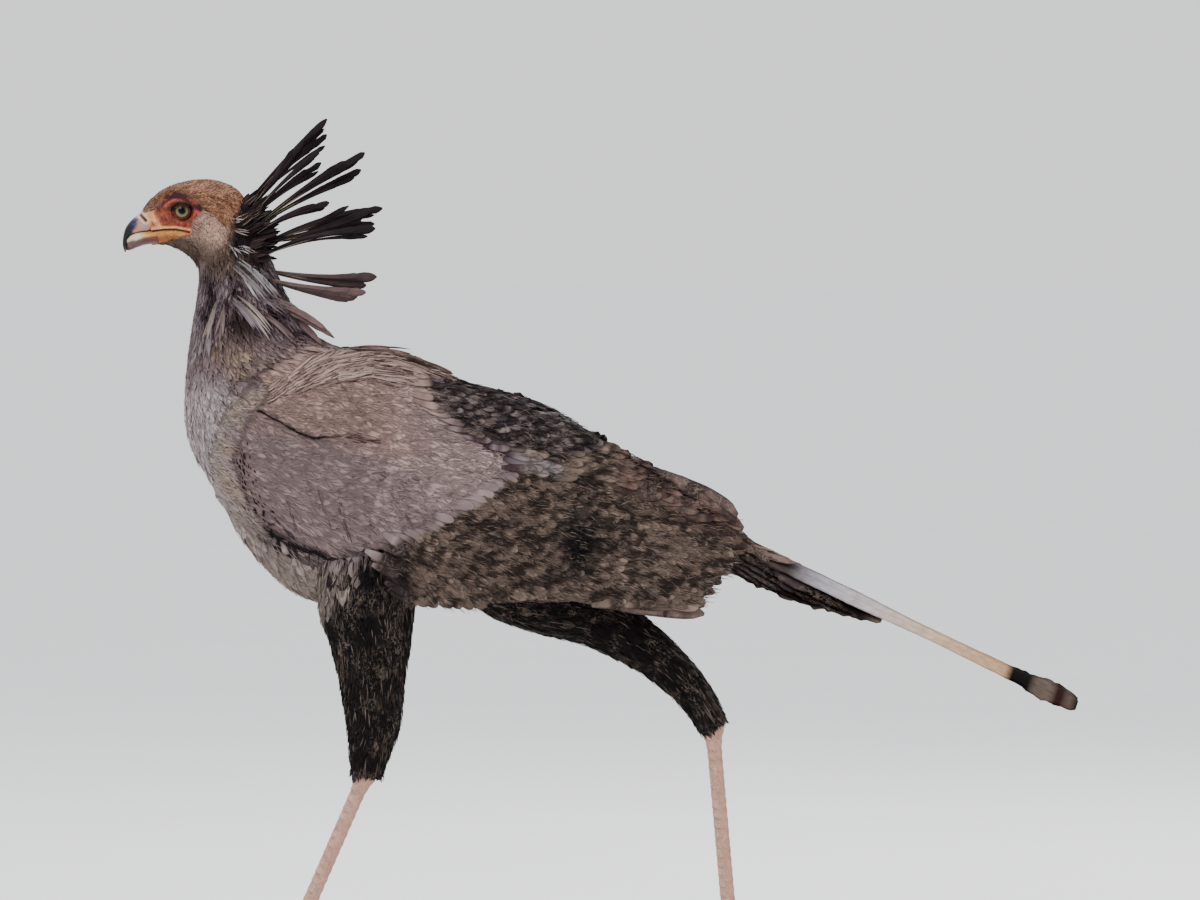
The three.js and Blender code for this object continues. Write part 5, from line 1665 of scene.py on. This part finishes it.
def flight_coverts(rng, side):
    """Shaggy, mottled feathers over the roots of the flight feathers and the flank."""
    shape = Shape()
    tips = spaced(rng, FLIGHT_AREA, 4600, 7.4)
    cover(shape, rng, side, tips, 34.0, flight_point, plain_shades, rise=1.0, turn=0.24, wide=0.17, mark=0.3,
          vary=0.3)
    return shape


def flight_wisps(rng, side):
    shape = Shape()
    wing_wisps(shape, rng, side, 6800, FLIGHT_AREA, flight_point, plain_shades, 1.8, (7, 19), pale=0.07,
               vary=0.22)
    return shape


MANTLE_LINE = [
    (-404, 738), (-385, 752), (-364, 766), (-335, 785), (-308, 797), (-272, 803), (-240, 799), (-216, 792),
    (-190, 779), (-171, 770),
]
# How far the streaked mantle reaches under that line: x, and depth.
MANTLE_DEPTH = [
    (-400, 4), (-364, 12), (-335, 18), (-308, 26), (-272, 32), (-240, 34), (-216, 26), (-190, 12), (-171, 4),
]


def scapulars(rng, side):
    """Long, narrow, streaky feathers of the mantle, along the line of the back."""
    shape = Shape()
    line = np.array(MANTLE_LINE, float)
    reach = reach_along(line)
    count = 460
    tip = rng.uniform(36, reach[-1], count)
    depth = np.interp(np.interp(tip, reach, line[:, 0]), *np.transpose(MANTLE_DEPTH))
    below = rng.uniform(-0.05, 1, count) * depth
    length = rng.uniform(0.6, 1.1, count) * np.interp(tip, [36, 150], [26, 56])
    s = COVERT_FORM["s"][None]
    along = tip[:, None] - (1 - s) * length[:, None]
    sag = below[:, None] * (1 + 0.15 * s) + rng.normal(0, 2.4, count)[:, None] * s
    x = np.interp(along, reach, line[:, 0]) + 0.25 * sag
    z = np.interp(along, reach, line[:, 1]) - sag
    height = 0.8 + (0.8 + rng.uniform(0, 2.2, count))[:, None] * s**2
    middle = covert_point(side, x, z, height)
    normal = normals_by_view(covert_point, side, x, z)
    tint = mix(rgb("553f3b"), rgb("b8a099"), rng.uniform(0, 1, (count, 1, 1)))
    tint = np.broadcast_to(tint, middle.shape) * mix(0.85, 1.05, s)[..., None]
    half = rng.uniform(1.2, 2.5, count)[:, None] * COVERT_FORM["w"][None]
    rim = (rgb("2c1d1a"), np.broadcast_to(0.4 + 0.4 * s, half.shape))
    vanes(shape, middle, normal, half, tint, 0.2, **BARB, thick=0.5, camber=0.3, edge=rim,
          bake=unwrap_wing(side, x[:, 0], z[:, 0]))
    return shape


# Crest

# The crest's rows: section of the body, rise in degrees, length, half width, reach sideways and bow.
CREST = [
    (5.35, 46.5, 134, 7, 8, 4), (5.5, 50, 103, 6, 22, -3), (5.75, 44, 112, 7, 34, 5),
    (6.0, 33, 150, 7.5, 16, 4), (6.15, 24, 92, 6.5, 44, 6), (6.25, 17, 130, 7, 30, -6),
    (6.45, 17, 142, 7, 10, 6), (6.65, 13.5, 132, 7.5, 40, 8), (6.95, -4, 122, 8, 20, -4),
    (7.1, -8, 112, 8, 46, -3), (7.85, -27, 70, 9, 32, 6), (8.1, -41, 64, 10, 14, 6),
]
# How deep their roots lie in the body, and the first row of short brown leaves.
CREST_SINK = 14
FIRST_LEAF = 10
# Each row is drawn as a few narrow feathers: turn in degrees, length, width and reach sideways.
CREST_BUNDLE = [(0, 1, 0.7, 0), (2.4, 0.84, 0.46, 6), (-1.6, 0.92, 0.42, -5)]
SPATULATE = np.array([
    [0, 0.25, 0.45, 0.62, 0.8, 0.88, 0.95, 0.985, 1], [0.34, 0.4, 0.46, 0.58, 0.9, 1, 0.92, 0.6, 0.2],
])
LEAF = np.array([[0, 0.2, 0.5, 0.75, 0.9, 1], [0.35, 0.6, 0.85, 0.75, 0.4, 0.06]])

def crest_shape(rng):
    """Long black feathers with narrow bases and broad, ragged ends, in a loose fan behind the head."""
    shape = Shape()
    s = np.linspace(0, 1, 36)
    for side in (LEFT, RIGHT):
        for i, (t, rise, length, half, reach, droop) in enumerate(CREST):
            if side == RIGHT and i % 3 == 1:
                continue
            share, lower = (1, 0) if side == LEFT else (0.9, 5)
            leaf = i >= FIRST_LEAF
            for turn, shorter, narrow, aside in CREST_BUNDLE[: 2 if leaf else 3]:
                angle = math.radians(rise - lower + turn + rng.normal(0, 0.8))
                root = body(t, -side * math.radians(10 + reach / 2), -CREST_SINK)
                way = np.array([math.cos(angle), 0, math.sin(angle)])
                middle = root + np.outer(s * (length * share * shorter + CREST_SINK), way)
                middle[:, 1] += side * (reach + aside) * s**1.5
                middle[:, 2] += droop * np.sin(np.pi * s)
                roll = 0.45 + 0.3 * np.sin(3 * t + 4 * s + turn)
                normal = unit(np.stack([0 * s - 0.3 * way[2], 0 * s + side, roll], -1))
                width = np.interp(s, *(LEAF if leaf else SPATULATE)) * half * narrow * (1.25 if leaf else 1)
                lumps = np.stack([9 * s, 0 * s + i + turn, 0 * s + side], -1)
                ragged = 1 + step(0.6, 1, s) * 0.3 * noise(lumps, 0.3)
                brown = 0.9 if leaf else (0.0, 0.25, 0.6)[max(i - 7, 0)]
                base = mix(rgb("140a0f"), rgb("7d6663"), brown * rng.uniform(0.7, 1))
                tint = mix(base, rgb("4c3b3f"), (step(0.25, 0.5, s) * step(0.85, 0.7, s) * 0.2)[:, None])
                tint = mix(tint, rgb("150c10"), (step(0.9, 1, s) * (0.8 if leaf else 0.3))[:, None])
                pale = rng.uniform(0, 1) < 0.6
                rim = (rgb("cdbda2"), (step(0.04, 0.14, s) * step(0.52, 0.36, s) * 0.9 * pale)[None])
                vanes(shape, middle[None], normal[None], (width * ragged)[None], tint[None], **BLADE,
                      thick=0.8, camber=0.25, edge=rim)
    return shape


def crest_base(rng):
    """Short dark feathers on the nape, from which the crest springs."""
    shape = Shape()
    s = np.linspace(0, 1, 12)
    for side in (LEFT, RIGHT):
        count = 90
        t = rng.uniform(5.2, 6.7, count)
        turn = np.radians(rng.uniform(2, 68, count))
        rise = np.interp(t, [5.2, 5.7, 6.2, 6.7], [44, 34, 16, -6]) + rng.normal(0, 5, count)
        way = np.stack([np.cos(np.radians(rise)), 0 * rise, np.sin(np.radians(rise))], -1)
        length = rng.uniform(16, 34, count) * np.interp(t, [5.2, 5.5, 6.2, 6.7], [0.7, 1.1, 1.0, 0.7])
        root = body(t, -side * turn, -5.0)
        middle = root[:, None] + way[:, None] * (s[None, :] * length[:, None])[..., None]
        middle[..., 1] += side * rng.uniform(0, 4, count)[:, None] * s
        normal = unit(np.broadcast_to([0.0, side, 0.4], middle.shape) + rng.normal(0, 0.2, (count, 1, 3)))
        half = rng.uniform(1.6, 3.2, count)[:, None] * np.interp(s, *PLUME_WIDTH)
        tint = mix(rgb("10070b"), rgb("352427"), rng.uniform(0, 1, (count, 1)) ** 2)
        pale = (rng.uniform(0, 1, count) < 0.22)[:, None] * 0.8
        rim = (rgb("b5a48d"), pale * step(0.05, 0.3, s) * step(1, 0.7, s))
        vanes(shape, middle, normal, half, tint, 0.0, thick=0.5, camber=0.25, edge=rim)
    return shape


# Tail

# The tail's pairs of feathers: length, rise to the tip, way out at the root and at the tip, half width.
TAIL_FEATHERS = [
    (511, 0, 2, 5, 28), (262, -3, 4, 10, 25), (226, -6, 5, 14, 24), (190, -8, 6, 17, 22),
    (156, -8, 7, 19, 20), (122, -6, 8, 20, 18),
]
TAIL_ROOT = np.array([88.0, 0.0, 614.0])
TAIL_SLOPE = math.radians(25.6)
TAIL_ROLL = math.radians(23)
TAIL_PITCH = 2.2
LONG_FORM = np.array([
    [0, 0.25, 0.45, 0.6, 0.84, 0.93, 0.985, 1], [0.2, 0.66, 0.66, 0.5, 0.62, 1, 0.8, 0.5],
])
SHORT_FORM = np.array([[0, 0.25, 0.6, 0.88, 0.96, 1], [0.2, 0.6, 1, 0.92, 0.7, 0.3]])
# Colours along the long pair and along the others: share of the length, and colour.
LONG_COLOURS = [
    (0, "3c302f"), (0.27, "4f4341"), (0.37, "aca6ad"), (0.5, "bdb3b0"), (0.66, "c7ac92"), (0.82, "b8957a"),
    (0.835, "0c0707"), (0.88, "0d0808"), (0.895, "5b5048"), (0.935, "62564d"), (0.945, "2a1615"),
    (0.965, "2a1615"), (0.975, "5a4e46"), (0.985, "4e423c"), (1, "1c0f0f"),
]
SHORT_COLOURS = [
    (0, "2c2426"), (0.4, "463c3e"), (0.62, "40373a"), (0.74, "1c1416"), (0.86, "1c1416"), (0.93, "564b45"),
    (1, "6f645a"),
]

def tail_shape():
    """A closed stack of feathers, rolled so that its left edge hangs lower, with a long middle pair."""
    shape = Shape()
    s = np.linspace(0, 1, 100)
    sideways = np.array([0, math.cos(TAIL_ROLL), math.sin(TAIL_ROLL)])
    facing = np.array([0, -math.sin(TAIL_ROLL), math.cos(TAIL_ROLL)])
    way = np.array([math.cos(TAIL_SLOPE), 0, -math.sin(TAIL_SLOPE)])
    for i, (length, rise, root_out, tip_out, half) in enumerate(TAIL_FEATHERS):
        long_pair = i == 0
        for side in (LEFT, RIGHT):
            layer = 2 * i + (side == RIGHT)
            middle = TAIL_ROOT + np.outer(s * length, way)
            middle += np.outer(side * mix(root_out, tip_out, s), sideways)
            middle[:, 2] += rise * s
            middle -= facing * TAIL_PITCH * layer
            width = np.interp(s, *(LONG_FORM if long_pair else SHORT_FORM))
            if long_pair:
                width = width * np.interp(s, [0.55, 0.7], [1, 0.92])
            rough = 0.04 if long_pair else 0.1
            places = np.stack([s * length / 6, 0 * s + 7 * layer, 0 * s], -1)
            ragged = 1 + mix(rough, 0.2, step(0.8, 0.9, s)) * noise(places, 1.0)
            tint = tail_colour(s, long_pair, s * length, layer)
            vanes(shape, middle[None], np.tile(facing, (1, len(s), 1)), (half * width * ragged)[None],
                  tint[None], 0.0 if long_pair else 0.35, **BLADE, thick=1.0, camber=0.03)
    return shape

def tail_colour(s, long_pair, reach, layer):
    """Grey, whitish and tan along the long pair, with a black band before the tip and dark blotches."""
    stops, codes = zip(*(LONG_COLOURS if long_pair else SHORT_COLOURS))
    table = np.array([rgb(code) for code in codes])
    colour = np.stack([np.interp(s, stops, table[:, k]) for k in range(3)], -1)
    blotch = noise(np.stack([reach, 0 * s + 23 * layer, 0 * s], -1), 16)
    dark_to = 0.24 if long_pair else 0.9
    dark = step(-0.1, 0.35, blotch) * step(dark_to + 0.1, dark_to, s) * 0.9
    return mix(colour, rgb("0f090b"), dark[:, None])

def tail_coverts(rng):
    """Soft feathers over and under the tail's root."""
    shape = Shape()
    for low, high, count, length, half, out in ((-1.1, 1.1, 26, 78, 12, 3.0), (1.5, 4.8, 34, 74, 11, 2.0)):
        t = rng.uniform(17.6, 20.4, count)
        angle = np.linspace(low, high, count)
        angle = np.where(angle > np.pi, angle - 2 * np.pi, angle)
        roots = np.stack([t, angle], -1)
        body_feathers(shape, rng, np.repeat(roots, 2, axis=0), length, half * 0.6, rise=out, form=COVERT_FORM,
                      vary=0.3, mark=0.5, spread=0.2)
    return shape


# Legs

BALL = {LEFT: np.array([-394.0, LEFT * 36, 27]), RIGHT: np.array([158.0, RIGHT * 45, 49])}
TOE_REACH = {LEFT: 14, RIGHT: 39.5}
TOES = [(60, -30, 9, 6), (80, 0, 9.5, 6.2), (60, 30, 8.5, 5.8), (30, 188, 7, 5)]
SHANK_PLATES = 30
TOE_PLATES = 13
LEG_COLOUR = "bb9482"


FOOT_UP = np.array([0, 0.01, 1.0])

def round_line(middle, up, deep, wide):
    """Rings of points round a line. deep and wide are how far each point lies up and sideways."""
    lift, across = tube_frame(unit(np.gradient(middle, axis=0)), up)
    return middle[:, None] + lift[:, None] * deep[..., None] + across[:, None] * wide[..., None]

def plated_tube(shape, middle, up, deep, wide, plates, sides, ridge):
    """A tube with so many overlapping plates along its upper side, which lift by the ridge."""
    turn = turns(sides)[None]
    s = np.linspace(0, 1, len(middle))[:, None] * plates
    face = step(-0.1, 0.55, np.cos(turn))
    tooth = np.mod(s + 0.1 * np.cos(turn * 2), 1)
    plate = ridge * (tooth**0.7 - 1.3 * step(0.93, 1.0, tooth)) * face
    pads = 0.35 * ridge * np.sin(2 * np.pi * s) * step(0.2, -0.8, np.cos(turn))
    out = plate + pads
    deep, wide = deep[:, None] + out, wide[:, None] + out
    points = round_line(middle, up, deep * np.cos(turn), wide * np.sin(turn))
    groove = step(0.9, 1.0, tooth) * face
    base = rgb(LEG_COLOUR) * (1 + 0.1 * noise(points, 9))[..., None]
    colour = mix(base, rgb("5f3b2f"), (0.85 * groove)[..., None])
    crown = 0.25 * face * step(0.2, 0.6, tooth) * step(0.85, 0.6, tooth)
    shape.add_tube(points, True, tint=mix(colour, rgb("d8bcae"), crown[..., None]))

def shank_shape(side):
    """The bare leg, from inside the thigh's end to the ball of the foot."""
    shape = Shape()
    x, z, out = SHIN[side][-1][:3]
    top = np.array([x, side * out, z], float)
    way = BALL[side] - top
    length = float(np.linalg.norm(way))
    s = np.linspace(-16, length + 7, 340)
    middle = top + np.outer(s, unit(way))
    swell = 5.5 * bell(s, 16) + 3.5 * bell(s - length + 4, 16)
    end = np.sqrt(np.clip((length + 8 - s) / 9, 0, 1))
    plated_tube(shape, middle, FORWARD, (8.2 + swell) * end, (6.8 + swell) * end, SHANK_PLATES, 36, 0.8)
    return shape

def toe_path(side, row):
    """Points down a toe from the ball of the foot and along the floor. The trailing hind toe hangs clear."""
    length, turn, _, tip = row
    start = BALL[side]
    way = np.array([-math.cos(math.radians(turn)), side * math.sin(math.radians(turn))])

    def at(along, height):
        return np.array([*(start[:2] + way * along), height])

    if side == RIGHT and turn > 90:
        return np.array([at(0.75 * s, start[2] - 2 - 0.62 * s) for s in np.linspace(0, length, 4)])
    reach, flat = TOE_REACH[side], tip - 0.8
    level = max(length - math.hypot(reach, start[2] - flat), 16)
    return np.array([
        at(0, start[2]), at(0.55 * reach, mix(start[2], flat, 0.5) + 1), at(reach, flat + 1.5),
        at(reach + 0.6 * level, flat), at(reach + level, flat),
    ])


def toe_shape(side, row):
    shape = Shape()
    path = toe_path(side, row)
    count = 92
    place = np.linspace(0, len(path) - 1, count)
    middle = smooth(path, place)
    along = np.linspace(0, 1, count)
    knuckle = 1 + 0.05 * np.cos(along * 2 * np.pi * 3)
    half = mix(row[2], row[3], along) * knuckle * np.sqrt(np.clip((1.04 - along) / 0.08, 0, 1))
    middle[:, 2] = np.maximum(middle[:, 2], half + 0.05)
    plated_tube(shape, middle, FOOT_UP, half - 0.3, half - 0.3, TOE_PLATES, 28, 0.6)
    return shape


def claw_shape(side, row):
    """A short, blunt, curved claw, rounder above than below."""
    path = toe_path(side, row)
    end, way = path[-1], unit(path[-1] - path[-2])
    level = unit(way * np.array([1, 1, 0]))
    in_air = end[2] > 12
    drop = [0, 0.8, -4.2, -9.4] if in_air else [0, 0.8, -1.4, -3.4]
    rows = np.column_stack([[-0.25, 0.35, 0.7, 1.0], drop, [1.0, 0.9, 0.58, 0.1]])
    count, sides = 40, 28
    values = smooth(rows, np.linspace(0, 3, count))
    middle = end + np.outer(values[:, 0] * 18, level) + np.outer(values[:, 1], [0, 0, 1.0])
    half = (row[3] * 0.64 * values[:, 2])[:, None]
    turn = turns(sides)[None]
    flat = 1 - 0.25 * np.maximum(-np.cos(turn), 0)
    points = round_line(middle, FOOT_UP, half * np.cos(turn) * flat, half * 0.8 * np.sin(turn))
    points[..., 2] = np.maximum(points[..., 2], 0.05)
    shade = mix(rgb("4a3c36"), rgb("1e1816"), np.linspace(0, 1, count)[:, None])
    shape = Shape()
    shape.add_tube(points, True, tint=np.broadcast_to(shade[:, None], points.shape))
    return shape


def make_leg(side, label, material):
    leg = shank_shape(side).build(f"leg_{label}", material)
    return union(leg, [toe_shape(side, row).build("toe", material) for row in TOES])


# Stage

PHOTO = (1200, 900)
MM_PER_PIXEL = 1.15
VIEW_HEIGHT = 685.0
ELEVATION = math.radians(2.0)
DISTANCE = 11.0
# The floor's reach in metres, and its corners.
FLOOR_REACH = 50
FLOOR_SIDES = 96
# Lights: place and size in metres, and power. They face the last place.
LIGHTS = {
    "key": ((-2.6, -3.2, 3.8), 2.6, 260.0),
    "fill": ((3.4, -3.4, 2.0), 3.0, 85.0),
    "back": ((1.5, 3.2, 3.2), 2.4, 110.0),
}
LIT_PLACE = np.array([0, 0, 0.65])


def set_camera():
    data = bpy.data.cameras.new("camera")
    data.sensor_width = 36.0
    data.lens = data.sensor_width * DISTANCE / (PHOTO[0] * MM_PER_PIXEL * MM)
    data.clip_end = 60.0
    camera = new_object("camera", data)
    camera.location = (0, -DISTANCE * math.cos(ELEVATION), VIEW_HEIGHT * MM + DISTANCE * math.sin(ELEVATION))
    camera.rotation_euler = (math.pi / 2 - ELEVATION, 0, 0)
    bpy.context.scene.camera = camera


def pale_floor(value):
    return (value, value, value * 0.99, 1.0)


def set_world():
    """A plain pale studio sky, a little brighter overhead."""
    world = bpy.data.worlds.new("studio")
    world.use_nodes = True
    g = Graph(world.node_tree)
    background = g.tree.nodes["Background"]
    height = g.node("ShaderNodeSeparateXYZ", {0: g.node("ShaderNodeTexCoord", {}, out="Generated")}, out=2)
    sky = g.mix(g.range(height, 0.02, 0.5), (0.83, 0.84, 0.85, 1.0), (1.0, 1.02, 1.06, 1.0))
    g.put(background.inputs["Color"], sky)
    background.inputs["Strength"].default_value = 1.4
    bpy.context.scene.world = world

def add_light(name, place, size, power):
    data = bpy.data.lights.new(name, "AREA")
    data.energy = power
    data.size = size
    light = new_object(name, data)
    light.location = place
    aim = LIT_PLACE - np.array(place)
    tilt = math.atan2(math.hypot(aim[0], aim[1]), -aim[2])
    light.rotation_euler = (tilt, 0, math.atan2(-aim[0], aim[1]))

def set_stage():
    """A pale floor under a pale sky, and soft lights."""
    g = Surface("floor", Roughness=0.9, Specular_IOR_Level=0.1)
    g.finish(g.mix(g.noise(3.0), pale_floor(0.80), pale_floor(0.84)))
    rim = [(FLOOR_REACH * math.cos(a), FLOOR_REACH * math.sin(a), 0.0) for a in turns(FLOOR_SIDES)]
    mesh = bpy.data.meshes.new("floor")
    mesh.from_pydata(rim, [], [list(range(FLOOR_SIDES))])
    mesh.materials.append(g.material)
    new_object("floor", mesh)
    set_world()
    for name, light in LIGHTS.items():
        add_light(name, *light)

# The assembled bird

SIDE_SEED = 40
BODY_SEED = 7

def piece(made, slot, *nodes):
    """Sets a made piece on the bird's one body, and hides the nodes of the solids that it covers. The slot is
    not used.
    """
    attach(made, "root")
    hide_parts(*nodes)

def add(name, shape, material, slot, *nodes, baked=False):
    piece(shape.build(name, material, baked), slot, *nodes)


def main():
    set_camera()
    set_stage()
    soft = feather_material("soft_feathers", barb=1.1, edge=0.1, shaft=0.12, soft=0.6)
    close = feather_material("close_feathers", barb=0.8, edge=0.08, shaft=0.08, soft=0.6)
    coverts = feather_material("covert_feathers", barb=1.2, edge=0.05, shaft=0.06, soft=0.87)
    mantle = feather_material("mantle_feathers", barb=1.0, edge=0.2, shaft=0.2, soft=0.3)
    dark = feather_material("flight_feathers", barb=1.2, edge=0.1, shaft=0.15, wavy=True, roughness=0.7)
    tail = feather_material("tail_feathers", barb=1.3, edge=0.12, shaft=0.2, wavy=True, roughness=0.9,
                            gloss=0.02)
    black = feather_material("black_feathers", barb=1.0, edge=0.08, shaft=0.1, wavy=True, soft=0.5)
    horn = horn_material("horn", 0.32)
    claws = horn_material("claw_horn", 0.45, 500.0, 0.4)
    scales = scale_material()

    under_skin = ("head", "nape", "neck", "torso", "thigh_left", "thigh_right")
    piece(make_skin(skin_material()), "grey_plumage", *under_skin)
    add("bill_top", bill_shape(UPPER_BILL, True), horn, "bill", "bill_upper")
    add("bill_bottom", bill_shape(LOWER_BILL, False), horn, "bill", "bill_lower")
    eye = eye_material()
    for label, side in SIDES.items():
        rng = np.random.default_rng(SIDE_SEED + side)
        wing = ("wing_plumage", f"wing_{label}")
        add(f"eyeball_{label}", eye_shape(side), eye, "eye", f"eye_{label}")
        add(f"lashes_{label}", lash_shape(side, rng), horn, "black_plumage", "head")
        add(f"wing_core_{label}", wing_core(side), soft, *wing)
        add(f"coverts_{label}", wing_coverts(rng, side), coverts, *wing, baked=True)
        add(f"scapulars_{label}", scapulars(rng, side), mantle, *wing, baked=True)
        add(f"mantle_tips_{label}", plumes(rng, side, MANTLE_TIPS), mantle, *wing)
        add(f"neck_plumes_{label}", plumes(rng, side, PLUMES), mantle, "grey_plumage", "neck")
        add(f"flight_{label}", flight_feathers(rng, side), dark, *wing)
        add(f"flight_coverts_{label}", flight_coverts(rng, side), black, *wing, baked=True)
        add(f"flight_barbs_{label}", flight_wisps(rng, side), soft, *wing, baked=True)
        add(f"upper_coverts_{label}", upper_coverts(rng, side), black, *wing, baked=True)
        add(f"thigh_coat_{label}", thigh_coat(rng, side), black, "black_plumage", f"thigh_{label}",
            baked=True)
        piece(make_leg(side, label, scales), "leg_skin", f"shank_{label}", f"foot_{label}")
        for i, row in enumerate(TOES, 1):
            add(f"claw_{label}_{i}_horn", claw_shape(side, row), claws, "claw", f"claw_{label}_{i}")
    rng = np.random.default_rng(BODY_SEED)
    add("head_coat", head_coat(rng), close, "head_plumage", "head", baked=True)
    add("neck_coat", neck_coat(rng), soft, "grey_plumage", "neck", "nape", baked=True)
    add("neck_barbs", neck_barbs(rng), soft, "grey_plumage", "neck", "nape", baked=True)
    for part, lower in (("breast", True), ("back", False)):
        add(f"{part}_coat", torso_coat(rng, lower), soft, "grey_plumage", "torso", baked=True)
        add(f"{part}_barbs", torso_barbs(rng, lower), soft, "grey_plumage", "torso", baked=True)
    add("crest", crest_shape(rng), dark, "crest_plumage", "nape")
    add("crest_base", crest_base(rng), soft, "crest_plumage", "nape")
    add("tail_feathers", tail_shape(), tail, "tail_plumage", "tail")
    add("tail_coverts", tail_coverts(rng), black, "tail_plumage", "tail", baked=True)


main()
